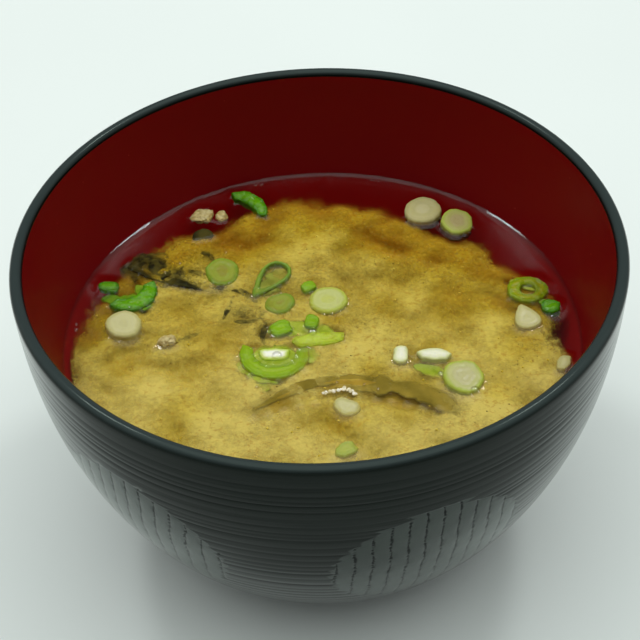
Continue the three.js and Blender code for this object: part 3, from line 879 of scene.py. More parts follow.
def polar_spots(outer, rings, angles):
    """(x, y) places on rings from an outer edge to the middle, which comes last."""
    shares = np.linspace(1.0, 0.01, rings)[:, None]
    x, y = shares * outer * np.cos(angles), shares * outer * np.sin(angles)
    return np.vstack([np.stack([x, y], -1).reshape(-1, 2), [[0.0, 0.0]]])


def disc_faces(start, count, rings, up):
    """Faces of a disc of points from polar_spots, facing up or down."""
    faces = []
    for k in range(rings - 1):
        faces += ring_faces(start + k * count, start + (k + 1) * count, count)
    faces += fan_faces(start + (rings - 1) * count, start + rings * count, count, up=True)
    return faces if up else [face[::-1] for face in faces]


def outside_cloud(spots):
    """Distance in mm outside the edge of the cloud, negative in the cloud."""
    return np.hypot(*spots.T) - cloud_edge(np.arctan2(spots[:, 1], spots[:, 0]))


def bed_piece(settings):
    """The bed of the cloud: settled miso, with soft puffs on top and a frayed edge."""
    count, rings, fringe, base = 360, 100, 3.0, 14.0
    angles = FULL_TURN * np.arange(count) / count
    outer = np.minimum(cloud_edge(angles) + fringe, inside_radius(SOUP_LEVEL - 3.0) - WALL_GAP)
    spots = polar_spots(outer, rings, angles)
    beyond = outside_cloud(spots)
    flat = np.column_stack([spots, np.zeros(len(spots))])
    puff = settings.puff_size / MM
    swell = noise_at(flat, puff * 2.0, 11.0, 2)
    billow = np.abs(noise_at(flat, puff, 3.0, 3))
    swell_height, puff_height, puff_mean, hollow = 0.4, 0.8, 0.3, 0.5
    depth = BED_DEPTH + swell_height * swell + puff_height * (puff_mean - billow)
    depth += hollow * spread(spots, DEEPER)
    clearance, bank_depth, bank_width = 0.4, 7.0, 4.5
    hangs = over_blades(SUNK_BLADES, spots, 0.6)[1]
    bank = bank_depth * smooth_step(0.0, bank_width, beyond) ** 2
    depth = np.maximum(depth, hangs + clearance) + bank
    fray = beyond + 1.6 * noise_at(flat, 3.2, 19.0, 3) + noise_at(flat, 1.0, 23.0, 2)

    points = np.column_stack([spots, SOUP_LEVEL - depth]).tolist()
    faces = disc_faces(0, count, rings, up=True)
    start = len(points)
    low = np.minimum(outer, inside_radius(base) - 1.5)
    foot = np.column_stack([low * np.cos(angles), low * np.sin(angles), np.full(count, base)])
    points += foot.tolist() + [[0.0, 0.0, base]]
    faces += ring_faces(start, 0, count)
    faces += fan_faces(start, len(points) - 1, count, up=False)
    unseen = np.full(len(points) - len(spots), FAR_OFF)
    attributes = {
        "fray": np.concatenate([fray, unseen]),
        "depth": np.concatenate([depth, unseen]),
        "dusted": np.concatenate([spread(spots, DUSTED), 0.0 * unseen]),
        "warm": np.concatenate([warmth(spots, beyond), 0.0 * unseen]),
    }
    return write_mesh("miso_bed", points, faces, [miso_bed(settings)], None, attributes)


def haze_piece(settings):
    """Haze over the bed: two thin closed slabs, whose four faces cut the same puffs of miso at four
    depths. The higher a face lies, the less of the puffs reaches it."""
    count, rings, fringe = 240, 66, 3.5
    angles = FULL_TURN * np.arange(count) / count
    outer = np.minimum(cloud_edge(angles) + fringe, inside_radius(SOUP_LEVEL - 2.5) - WALL_GAP)
    spots = polar_spots(outer, rings, angles)
    flat = np.column_stack([spots, np.zeros(len(spots))])
    wave = 0.15 * noise_at(flat, 9.0, 41.0, 2)
    beyond = outside_cloud(spots) + 1.4 * noise_at(flat, 3.0, 19.0, 3)
    thinner = 0.06 * spread(spots, DEEPER) + 0.1 * smooth_step(-4.0, 1.4, beyond)
    for blades, amount, margin in THINNED_OVER:
        thinner += amount * over_blades(blades, spots, margin)[0]
    points, faces, cover = [], [], []
    for number, (depth, share) in enumerate(HAZE_LAYERS):
        start = len(points)
        points += np.column_stack([spots, SOUP_LEVEL - depth + wave]).tolist()
        cover.append(share - thinner)
        top = number % 2 == 0
        faces += disc_faces(start, count, rings, up=top)
        if not top:
            faces += ring_faces(start, start - len(spots), count)
    layers = len(HAZE_LAYERS)
    attributes = {
        "cover": np.concatenate(cover),
        "fray": np.tile(beyond, layers),
        "dusted": np.tile(spread(spots, DUSTED), layers),
        "warm": np.tile(warmth(spots, outside_cloud(spots)), layers),
    }
    return write_mesh("miso_haze", points, faces, [miso_haze(settings)], None, attributes)


def miso_tone(add, place, settings, lower):
    """Colour of the miso, from cream to amber as it lies lower, with thin amber creases between its
    curds and fine dust of wakame."""
    curds = add(NOISE, {"Vector": place, "Scale": texture_scale(1.2), "Detail": 3.0, "Roughness": 0.6})
    grit = add(NOISE, {"Vector": place, "Scale": texture_scale(0.7), "Detail": 3.0, "Roughness": 0.6})
    folds = add(NOISE, {"Vector": place, "Scale": texture_scale(3.2), "Detail": 4.0, "Roughness": 0.62})
    # The warm tone also holds painted shade towards the back and painted light at the front.
    warm = add(ATTRIBUTE, attribute_name="warm").outputs["Fac"]
    deeper = add(MATH, (warm, 0.52, lower), operation="MULTIPLY_ADD")
    uneven = add(MATH, (curds, 0.28, deeper), operation="MULTIPLY_ADD")
    colours = (settings.milk, settings.cream, settings.straw, settings.amber)
    tone = add(RAMP, (uneven,), stops=list(zip((0.04, 0.2, 0.5, 0.92), colours)))
    milky = add(RANGE, (grit, 0.44, 0.3, 0.0, 0.45), **SMOOTH)
    curdled = add(MIX, {0: milky, 6: tone, 7: linear(settings.milk)}, **COLOURS)

    from_fold = add(MATH, (folds, 0.5), operation="SUBTRACT")
    off_fold = add(MATH, (from_fold,), operation="ABSOLUTE")
    fold = add(RANGE, (off_fold, 0.04, 0.0), **SMOOTH)
    between = add(RANGE, (curds, 0.4, 0.6, 0.0, 0.5), **SMOOTH)
    crease = add(MATH, (fold, between), operation="MULTIPLY")
    creased = add(MIX, {0: crease, 6: curdled, 7: linear(settings.amber)}, **COLOURS)

    flecks = add(RANGE, (grit, 0.5, 0.68, 0.0, 0.6), **SMOOTH)
    dusted = add(ATTRIBUTE, attribute_name="dusted").outputs["Fac"]
    dust = add(MATH, (flecks, dusted), operation="MULTIPLY")
    return add(MIX, {0: dust, 6: creased, 7: linear("#504410")}, **COLOURS)


def curd_bump(add, place):
    """The soft nap of curds a millimetre across, as bumps."""
    nap = add(NOISE, {"Vector": place, "Scale": texture_scale(1.4), "Detail": 4.0, "Roughness": 0.6})
    return add(BUMP, {"Height": nap, "Strength": 0.5, "Distance": 0.6 * MM})


def miso_haze(settings):
    """Haze of miso: soya curds as fine as milk, which gather in soft puffs and thin out to
    nothing at the edge of each puff."""
    material, add = new_material("miso_haze")
    place = add(PLACE).outputs["Object"]
    puffs = add(NOISE, {"Vector": place, "Scale": texture_scale(8.0), "Detail": 1.0})
    fluff = add(NOISE, {"Vector": place, "Scale": texture_scale(1.0), "Detail": 4.0, "Roughness": 0.65})
    uneven = add(MATH, (fluff, 0.5), operation="SUBTRACT")
    cover = add(ATTRIBUTE, attribute_name="cover").outputs["Fac"]
    billowy = add(MATH, (puffs, 0.75, cover), operation="MULTIPLY_ADD")
    thick = add(MATH, (uneven, 0.32, billowy), operation="MULTIPLY_ADD")
    milkiness = add(RANGE, (thick, 0.18, 0.54, 0.0, 0.78), **SMOOTH)
    fray = add(ATTRIBUTE, attribute_name="fray").outputs["Fac"]
    edge = add(MATH, (uneven, 8.0, fray), operation="MULTIPLY_ADD")
    within = add(RANGE, (edge, 1.4, -2.2), **SMOOTH)

    height = add(SPLIT, (place,)).outputs["Z"]
    top, bottom = SOUP_LEVEL * MM, (SOUP_LEVEL - BED_DEPTH) * MM
    lower = add(RANGE, (height, top, bottom, 0.0, 0.3), **SMOOTH)
    swell = add(MATH, (puffs, 0.5), operation="SUBTRACT")
    softer = add(MATH, (swell, -0.3, lower), operation="MULTIPLY_ADD")
    look = {
        "Base Color": miso_tone(add, place, settings, softer),
        "Normal": curd_bump(add, place),
        "Roughness": 0.9,
        "Specular IOR Level": 0.0,
        "Alpha": add(MATH, (milkiness, within), operation="MULTIPLY"),
    }
    add(OUTPUT, {"Surface": add(SHADER, look)})
    return material


def miso_bed(settings):
    """Miso settling in its broth: a soft bed of soya curds that scatters light like milk. It is
    straw on its puffs, amber in its creases and frays to nothing at its edge."""
    material, add = new_material("miso_bed")
    place = add(PLACE).outputs["Object"]
    depth = add(ATTRIBUTE, attribute_name="depth").outputs["Fac"]
    lower = add(RANGE, (depth, BED_DEPTH - 1.2, BED_DEPTH + 1.6, -0.08, 0.16), **SMOOTH)
    look = {
        "Base Color": miso_tone(add, place, settings, lower),
        "Normal": curd_bump(add, place),
        "Roughness": 0.8,
        "IOR": 1.1,
        "Subsurface Weight": 0.5,
        "Subsurface Radius": (1.0, 0.8, 0.35),
        "Subsurface Scale": 1.5 * MM,
    }
    wisps = add(NOISE, {"Vector": place, "Scale": texture_scale(0.8), "Detail": 4.0, "Roughness": 0.65})
    uneven = add(MATH, (wisps, 0.5), operation="SUBTRACT")
    fray = add(ATTRIBUTE, attribute_name="fray").outputs["Fac"]
    edge = add(MATH, (uneven, 9.0, fray), operation="MULTIPLY_ADD")
    gone = add(RANGE, (edge, -2.4, 1.6), **SMOOTH)
    clear = add("ShaderNodeBsdfTransparent")
    add(OUTPUT, {"Surface": add("ShaderNodeMixShader", (gone, add(SHADER, look), clear))})
    return material


def scatter_tree():
    """Geometry nodes that scatter grains over the haze, thickest where told."""
    tree = bpy.data.node_groups.new("scatter_grains", "GeometryNodeTree")
    tree.interface.new_socket("Haze", in_out="INPUT", socket_type="NodeSocketGeometry")
    for name in ("Density", "Only Where Dusted", "Smallest", "Largest", "Flatness"):
        tree.interface.new_socket(name, in_out="INPUT", socket_type="NodeSocketFloat")
    tree.interface.new_socket("Seed", in_out="INPUT", socket_type="NodeSocketInt")
    tree.interface.new_socket("Material", in_out="INPUT", socket_type="NodeSocketMaterial")
    tree.interface.new_socket("Grains", in_out="OUTPUT", socket_type="NodeSocketGeometry")
    add = partial(add_node, tree)
    given = add("NodeGroupInput").outputs
    dusted = add("GeometryNodeInputNamedAttribute", {"Name": "dusted"}, **NUMBER)
    fray = add("GeometryNodeInputNamedAttribute", {"Name": "fray"}, **NUMBER)
    share = add(MIX, {0: given["Only Where Dusted"], 2: 1.0, 3: dusted}, **NUMBER)
    wanted = add(MATH, (share, given["Density"]), operation="MULTIPLY")
    within = add(RANGE, (fray, -0.5, -2.0), **SMOOTH)
    density = add(MATH, (wanted, within), operation="MULTIPLY")
    thickly = {"Mesh": given["Haze"], "Density": density, "Seed": given["Seed"]}
    scattered = add("GeometryNodeDistributePointsOnFaces", thickly, distribute_method="RANDOM")
    sizes = {2: given["Smallest"], 3: given["Largest"], "Seed": given["Seed"]}
    size = add("FunctionNodeRandomValue", sizes, **NUMBER)
    flat = add(MATH, (size, given["Flatness"]), operation="MULTIPLY")
    scale = add("ShaderNodeCombineXYZ", (size, flat, flat))
    turns = {2: 0.0, 3: FULL_TURN, "Seed": given["Seed"]}
    rotation = add("ShaderNodeCombineXYZ", {"Z": add("FunctionNodeRandomValue", turns, **NUMBER)})
    grain = add("GeometryNodeMeshIcoSphere", {"Radius": 1.0, "Subdivisions": 1})
    places = {"Points": scattered, "Instance": grain, "Rotation": rotation, "Scale": scale}
    real = add("GeometryNodeRealizeInstances", {"Geometry": add("GeometryNodeInstanceOnPoints", places)})
    coloured = add("GeometryNodeSetMaterial", {"Geometry": real, "Material": given["Material"]})
    add("NodeGroupOutput", {"Grains": coloured})
    return tree


def grains_piece(name, haze, tree, values):
    """Grains scattered over a copy of the haze by the given tree, as one plain mesh."""
    piece = link_object(name, haze.data.copy())
    scatter = piece.modifiers.new("scatter", "NODES")
    scatter.node_group = tree
    for socket in tree.interface.items_tree:
        if socket.in_out == "INPUT" and socket.name in values:
            scatter[socket.identifier] = values[socket.name]
    return bake_modifiers(piece)


def grain_material(name, patch_size, stops, roughness):
    """Grains of one kind, whose colour drifts from place to place."""
    material, add = new_material(name)
    place = add(PLACE).outputs["Object"]
    mottle = add(NOISE, {"Vector": place, "Scale": texture_scale(patch_size), "Detail": 3.0})
    look = {"Base Color": add(RAMP, (mottle,), stops=stops), "Roughness": roughness, "IOR": 1.2}
    add(OUTPUT, {"Surface": add(SHADER, look)})
    return material


# ---------------------------------------------------------------- scallion


def remeshed_copy(name, node, voxel, relax):
    """A fine, even copy of a node's solid, with its facets rounded off."""
    shape = bmesh.new()
    shape.from_mesh(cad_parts[node].data)
    bmesh.ops.remove_doubles(shape, verts=shape.verts, dist=0.002 * MM)
    mesh = bpy.data.meshes.new(name)
    shape.to_mesh(mesh)
    shape.free()
    piece = link_object(name, mesh)
    remesh = piece.modifiers.new("even", "REMESH")
    remesh.mode = "VOXEL"
    remesh.voxel_size = voxel * MM
    soften = piece.modifiers.new("soften", "SMOOTH")
    soften.factor = 0.5
    soften.iterations = relax
    return bake_modifiers(piece)


def cut_face_frame(node):
    """Middle of a cut piece's top face, and its axes, from the solid's own corners, in mm."""
    points = mesh_points(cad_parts[node].data)
    middle = points.mean(0)
    directions = np.linalg.svd(points - middle, full_matrices=False)[2]
    up = directions[2] * np.sign(directions[2][2])
    along = directions[0] - up * (directions[0] @ up)
    along /= np.linalg.norm(along)
    middle = middle + up * ((points @ up).max() - middle @ up)
    return middle, np.stack([along, np.cross(up, along), up])


def paint_layers(piece, node, relief, layer_spacing, lump):
    """Gives a cut piece its layers: the distance in from its rim, a low ring for each layer, and the
    small lumps and dents of a knife's cut."""
    middle, axes = cut_face_frame(node)
    mesh = piece.data
    points = mesh_points(mesh)
    local = (points - middle) @ axes.T
    normals = np.array([corner.normal for corner in mesh.vertices]) @ axes.T
    side = np.abs(normals[:, 2]) < 0.5
    rim = distance_in_plan(local[side], local[:, :2])
    on_top = smooth_step(0.6, 0.9, normals[:, 2])
    rings = relief * np.cos(FULL_TURN * rim / layer_spacing) * smooth_step(0.2, 0.7, rim)
    points += np.outer(rings * on_top, axes[2])
    points += (normals @ axes) * (lump * noise_at(points, 2.0, 5.0))[:, None]
    mesh.vertices.foreach_set("co", (points * MM).ravel())
    write_attribute(mesh, "rim", rim)
    mesh.update()


def scallion(name, skin, flesh, heart, skin_width=0.5, heart_from=2.2, sunk="#a8963c", fog=1.4):
    """Cut scallion: crisp, full of water and a little see-through. Its skin, flesh and heart are
    told by their distance from the rim, and miso hides it within so many mm as it goes under."""
    material, add = new_material(name)
    place = add(PLACE).outputs["Object"]
    fibre = add(NOISE, {"Vector": place, "Scale": texture_scale(1.3), "Detail": 4.0, "Roughness": 0.6})
    rim = add(ATTRIBUTE, attribute_name="rim").outputs["Fac"]
    depth_shown, fibre_reach, fibre_mean, softness = 4.0, 0.8, 0.4, 0.14
    inward = add(MATH, (fibre, fibre_reach, rim), operation="MULTIPLY_ADD")
    centred = add(MATH, (inward, fibre_mean), operation="SUBTRACT")
    share = add(MATH, (centred, depth_shown), operation="DIVIDE")
    skin_end, heart_start = skin_width / depth_shown, heart_from / depth_shown
    stops = [
        (0.0, skin),
        (skin_end, skin),
        (skin_end + softness, flesh),
        (heart_start, flesh),
        (heart_start + softness, heart),
    ]
    shades = add(RAMP, (share,), stops=stops)
    height = add(SPLIT, (place,)).outputs["Z"]
    clear_above = SOUP_LEVEL + 0.3
    hidden = (height, clear_above * MM, (clear_above - fog) * MM, 0.0, 0.95)
    under = add(RANGE, hidden, **SMOOTH)
    look = {
        "Base Color": add(MIX, {0: under, 6: shades, 7: linear(sunk)}, **COLOURS),
        "Roughness": 0.26,
        "IOR": 1.3,
        "Normal": add(BUMP, {"Height": fibre, "Strength": 0.3, "Distance": 0.1 * MM}),
        "Subsurface Weight": 0.5,
        "Subsurface Radius": (1.0, 1.0, 0.5),
        "Subsurface Scale": 1.2 * MM,
    }
    add(OUTPUT, {"Surface": add(SHADER, look)})
    return material


# Cut pieces with larger lumps than this, in mm, are soft leaf, whose corners are rounded off.
LEAF_LUMP = 0.2


def scallion_kinds(settings):
    """The kinds of cut scallion, each as its nodes, slot, lumps and material."""
    white, pale, lime, green = settings.white, settings.pale, settings.lime, settings.green
    over_red = "#5a1c10"
    return (
        (("scallion_white_left", "scallion_heart", "scallion_white_right", "scallion_chip_edge"),
            "scallion_white", 0.1, scallion("scallion_white_flesh", "#b4b074", white, "#bebb86")),
        (("scallion_white_back",), "scallion_white", 0.1,
            scallion("scallion_white_flesh_clear", "#a9a26c", "#b2ac78", "#bab484", 0.5, 2.2, over_red, 0.9)),
        (("scallion_white_chip", "scallion_arc_striped"), "scallion_white", 0.1,
            scallion("scallion_wet_flesh", "#c6cc90", "#e0e2c4", "#e8ead2", 0.2, 0.8)),
        # The front core's near-white heart is painted glare; its lime rim is the scallion's own colour.
        (("scallion_core_front",), "scallion_white", 0.1,
            scallion("scallion_core_flesh_and_glare", "#a6c23c", "#cdd890", "#eef0e0", 0.1, 0.6, "#a6b840")),
        (("scallion_white_centre",), "scallion_white", 0.1,
            scallion("scallion_cream_flesh", "#a8b24a", "#b9be74", "#b8bd66")),
        (("scallion_green_back",), "scallion_pale", 0.1,
            scallion("scallion_pale_flesh_clear", "#9fab48", "#a8a662", "#a89c6a", 0.4, 1.5, over_red, 0.9)),
        (("scallion_round_right",), "scallion_pale", 0.12,
            scallion("scallion_pale_flesh", "#a2b044", pale, "#b9b784", 0.4, 1.5)),
        (("scallion_round_left", "scallion_sunk_ring"), "scallion_pale", 0.12,
            scallion("scallion_sunk_flesh", "#74902a", "#8b9634", "#8b8a34", 0.4, 2.0)),
        (("scallion_chip_front",), "scallion_pale", 0.15,
            scallion("scallion_dull_flesh", "#9ca84c", "#a8b052", "#a8b052")),
        (("scallion_arc_front",), "scallion_pale", 0.15,
            scallion("scallion_fan_flesh", "#7fa010", lime, "#94ae2c", 0.5, 1.2, "#a8a838", 0.7)),
        (("scallion_chip_mid_left", "scallion_chip_mid_right", "scallion_chip_dark"), "scallion_pale", 0.15,
            scallion("scallion_lime_flesh", "#769c0c", "#7ea60e", "#88ae14", 0.3, 1.0, "#a0a838", 0.8)),
        (("scallion_leaf_flat",), "scallion_pale", 0.3,
            scallion("scallion_leaf_flesh", "#98ac20", "#aebf40", "#b4c450", 0.4, 1.4, "#a8ac3c", 0.8)),
        (("scallion_ring_right",), "scallion_pale", 0.25,
            scallion("scallion_olive_flesh", "#7c900a", "#909414", "#948c1c", 0.6, 1.6)),
        (("scallion_arc_back", "scallion_arc_left", "scallion_chip_right", "scallion_chip_left"),
            "scallion_green", 0.35,
            scallion("scallion_green_leaf", "#3f7a04", green, "#6ca010", 0.3, 1.4, "#6c7c18", 1.0)),
        (("scallion_tube",), "scallion_green", 0.12,
            scallion("scallion_tube_leaf", "#6c8c28", "#8c9a3c", "#98a448", 0.25, 1.0)),
    )


# ---------------------------------------------------------------- wakame and tofu


def blade_skin(name, dark, light, blotch_size, sheer=False):
    """A soaked blade of wakame or leaf: blotched where it is thick, dull under broth, and where it
    is sheer clearing to nothing at its margin."""
    material, add = new_material(name)
    place = add(PLACE).outputs["Object"]
    blotch = add(NOISE, {"Vector": place, "Scale": texture_scale(blotch_size), "Detail": 4.0})
    look = {
        "Base Color": add(RAMP, (blotch,), stops=[(0.38, dark), (0.66, light)]),
        "Roughness": 0.6,
        "Normal": add(BUMP, {"Height": blotch, "Strength": 0.4, "Distance": 0.3 * MM}),
        "Specular IOR Level": 0.08,
    }
    if sheer:
        margin = add(ATTRIBUTE, attribute_name="margin").outputs["Fac"]
        ragged = add(MATH, (blotch, 0.5, margin), operation="MULTIPLY_ADD")
        look["Alpha"] = add(RANGE, (ragged, 0.15, 0.6, 0.0, 0.92), **SMOOTH)
    add(OUTPUT, {"Surface": add(SHADER, look)})
    return material


def tofu_curd(settings):
    """Crumbs of tofu: soft, damp and off-white, and darker in the hollows of their bumps."""
    material, add = new_material("tofu_curd")
    place = add(PLACE).outputs["Object"]
    pits = add(NOISE, {"Vector": place, "Scale": texture_scale(0.9), "Detail": 4.0})
    look = {
        "Base Color": add(RAMP, (pits,), stops=[(0.36, "#b09c5c"), (0.56, settings.tofu)]),
        "Roughness": 0.5,
        "Normal": add(BUMP, {"Height": pits, "Strength": 0.6, "Distance": 0.2 * MM}),
    }
    add(OUTPUT, {"Surface": add(SHADER, look)})
    return material


def lumpy_copies(nodes, suffix, slot, material, voxel, lump, size):
    """Copies of soft nodes with lumps of the given height and size, all in one material."""
    for node in nodes:
        piece = remeshed_copy(node + suffix, node, voxel, 3)
        points = mesh_points(piece.data)
        normals = np.array([corner.normal for corner in piece.data.vertices])
        points += normals * (lump * noise_at(points, size, 31.0))[:, None]
        piece.data.vertices.foreach_set("co", (points * MM).ravel())
        piece.data.update()
        piece.data.materials.append(material)
        attach(piece, slot, node)


# ---------------------------------------------------------------- bubbles

# Bubbles on the surface, as (x, y, radius).
BUBBLES = (
    (-1.8, 0.7, 0.95), (-8.9, -5.6, 1.1), (28.7, -17, 0.9), (22.6, -12.4, 0.6), (26.2, -12.1, 0.4),
    (-15.8, -3.6, 0.3), (-12.6, -9.1, 0.45), (-12.8, -13.7, 0.3), (-5.6, 1.6, 0.28), (-38.8, 9.9, 0.4),
    (-18.7, 16.2, 0.35), (-19.6, 26.4, 0.3), (-8, 12.5, 0.4), (2.6, -13.4, 0.35), (7.8, -14.2, 0.3),
    (10.4, -15.6, 0.35), (41.2, 3.4, 0.3), (-32.2, 20.4, 0.35), (-29.2, 23.4, 0.3), (-49, 3.5, 0.45),
    (-49.1, 5, 0.35), (-12, 48.2, 0.4), (-13.4, 47.9, 0.3), (12.4, 48.2, 0.4), (13.8, 47.8, 0.3),
)

# The streak of foam, as (x, y) corners.
FOAM = ((-0.2, -16.2), (1.2, -15.7), (2.6, -15.3), (3.9, -15.2), (5.2, -15.8), (6.2, -16.6))


def join_balls(name, balls, material):
    """One mesh of several closed balls, given as (centre, radii)."""
    shape = bmesh.new()
    bmesh.ops.create_icosphere(shape, subdivisions=3, radius=1.0)
    unit = np.array([corner.co for corner in shape.verts])
    unit_faces = np.array([[corner.index for corner in face.verts] for face in shape.faces])
    shape.free()
    points = [unit * radii + centre for centre, radii in balls]
    faces = [unit_faces + number * len(unit) for number in range(len(balls))]
    return write_mesh(name, np.vstack(points), np.vstack(faces).tolist(), [material])


def bubble_skin():
    """The skin of a bubble: clear in the middle and bright at its rim, where it turns away."""
    material, add = new_material("bubble_skin")
    facing = add("ShaderNodeLayerWeight", {"Blend": 0.35}).outputs["Facing"]
    clear = add("ShaderNodeBsdfTransparent")
    shine = add("ShaderNodeBsdfGlossy", {"Roughness": 0.08})
    add(OUTPUT, {"Surface": add("ShaderNodeMixShader", (facing, clear, shine))})
    return material


# ---------------------------------------------------------------- operators


class MISO_OT_bowl(bpy.types.Operator):
    """Makes the lacquered bowl"""

    bl_idname = "miso.bowl"
    bl_label = "Lacquered Bowl"

    def execute(self, context):
        attach(bowl_piece(context.scene.miso_lacquer), "lacquer", "bowl")
        return {"FINISHED"}


class MISO_OT_broth(bpy.types.Operator):
    """Makes the clear broth, the bed and haze of miso in it and the grains in the haze"""

    bl_idname = "miso.broth"
    bl_label = "Broth and Miso"

    def execute(self, context):
        settings = context.scene.miso_soup
        per_square_metre = 1.0e4
        haze = haze_piece(settings)
        tree = scatter_tree()
        dark = [(0.35, "#3d3612"), (0.5, "#5f5220"), (0.65, "#7c6a2a")]
        specks = {
            "Density": settings.speck_density * per_square_metre,
            "Only Where Dusted": 1.0,
            "Smallest": 0.2 * settings.speck_size,
            "Largest": 0.5 * settings.speck_size,
            "Flatness": 0.6,
            "Seed": 3,
            "Material": grain_material("wakame_fleck", 3.0, dark, 0.5),
        }
        fair = [(0.4, settings.straw), (0.6, settings.cream)]
        granules = {
            "Density": settings.granule_density * per_square_metre,
            "Only Where Dusted": 0.0,
            "Smallest": 0.15 * MM,
            "Largest": 0.34 * MM,
            "Flatness": 0.8,
            "Seed": 8,
            "Material": grain_material("soya_granule", 4.0, fair, 0.7),
        }
        attach(grains_piece("miso_specks", haze, tree, specks), "miso_broth")
        attach(grains_piece("miso_granules", haze, tree, granules), "miso_broth")
        attach(haze, "miso_broth", "soup")
        attach(bed_piece(settings), "miso_broth", "soup")
        attach(broth_piece(), "miso_broth", "soup")
        return {"FINISHED"}


class MISO_OT_scallion(bpy.types.Operator):
    """Makes the cut scallion"""

    bl_idname = "miso.scallion"
    bl_label = "Scallion"

    def execute(self, context):
        voxel, crisp, soft, relief, layer_spacing = 0.16, 5, 9, 0.03, 1.15
        for nodes, slot, lump, material in scallion_kinds(context.scene.miso_garnish):
            rounding = soft if lump > LEAF_LUMP else crisp
            for node in nodes:
                piece = remeshed_copy(node + "_cut", node, voxel, rounding)
                paint_layers(piece, node, relief, layer_spacing, lump)
                piece.data.materials.append(material)
                attach(piece, slot, node)
        return {"FINISHED"}


class MISO_OT_floating(bpy.types.Operator):
    """Makes the wakame at the surface and the tofu crumbs"""

    bl_idname = "miso.floating"
    bl_label = "Wakame and Tofu"

    def execute(self, context):
        settings = context.scene.miso_garnish
        golden = blade_skin("wakame_thin_blade", "#8c7820", "#b49a3a", 5.0)
        dark = blade_skin("wakame_blade", settings.wakame, "#4a4618", 4.0)
        lumpy_copies(("wakame_front",), "_blade", "wakame", golden, 0.22, 0.06, 1.5)
        lumpy_copies(("wakame_left", "wakame_back"), "_blade", "wakame", dark, 0.22, 0.1, 1.5)
        crumbs = ("tofu_crumb_back", "tofu_crumb_middle", "tofu_crumb_left")
        lumpy_copies(crumbs, "_curd", "tofu", tofu_curd(settings), 0.14, 0.3, 0.9)
        return {"FINISHED"}


class MISO_OT_sunk(bpy.types.Operator):
    """Makes the wakame, leaves and scallion that hang under the surface"""

    bl_idname = "miso.sunk"
    bl_label = "Sunk Garnish"

    def execute(self, context):
        dark = blade_skin("sunk_wakame_blade", context.scene.miso_garnish.wakame, "#5a5420", 1.4, True)
        thin = blade_skin("sunk_wakame_edge", "#766a1e", "#9a8a36", 5.0, True)
        leaf = blade_skin("sunk_leaf_skin", "#7e8634", "#9aa348", 2.0, True)
        lime = blade_skin("sunk_scallion_skin", "#90a824", "#b0c04c", 2.5, True)
        green = blade_skin("sunk_green_skin", "#5c9010", "#84a42c", 2.0, True)
        kinds = (
            ("sunk_wakame", SUNK_WAKAME, "wakame", dark),
            ("sunk_crest", SUNK_CREST, "wakame", thin),
            ("sunk_leaf", SUNK_LEAVES, "wakame", leaf),
            ("sunk_scallion", SUNK_SCALLION, "scallion_pale", lime),
            ("sunk_green", SUNK_GREEN, "scallion_green", green),
        )
        for name, blades, slot, material in kinds:
            for number, blade in enumerate(blades):
                attach(sunk_blade(f"{name}_{number}", blade, material, number + 1.0), slot)
        return {"FINISHED"}


class MISO_OT_bubbles(bpy.types.Operator):
    """Makes the bubbles and the streak of foam"""

    bl_idname = "miso.bubbles"
    bl_label = "Bubbles and Foam"

    def execute(self, context):
        flatness, foam_seed, foam_count = 0.7, 12, 34
        heights = surface_height(np.array(BUBBLES)[:, :2])
        balls = []
        for (x, y, radius), height in zip(BUBBLES, heights):
            balls.append(((x, y, height), (radius, radius, radius * flatness)))
        attach(join_balls("bubbles", balls, bubble_skin()), "miso_broth")
        random = np.random.default_rng(foam_seed)
        froth = []
        for x, y in curve_through(FOAM, foam_count):
            radius = random.uniform(0.18, 0.42)
            place = (x + random.normal(0.0, 0.22), y + random.normal(0.0, 0.18), SOUP_LEVEL + 0.1)
            froth.append((place, (radius, radius, radius * flatness)))
        white = grain_material("fine_foam", 0.6, [(0.4, "#cfc79c"), (0.6, "#f4f2e4")], 0.3)
        attach(join_balls("foam_streak", froth, white), "miso_broth")
        return {"FINISHED"}


# The camera's place and target in mm, its roll in degrees and its lens in mm.
CAMERA_PLACE = (0.0, -211.1, 247.7)
CAMERA_TARGET = (-0.22, 2.51, 47.6)
CAMERA_ROLL = -2.15
CAMERA_LENS = 82.8

# Clear surfaces that light may pass on its way down through the haze and up again.
CLEAR_LAYERS = 24

# Two square soft boxes behind the bowl, one at each side: their size and place in mm.
SOFT_BOX = {"size": 110.0, "x": 300.0, "y": 280.0, "z": 700.0}


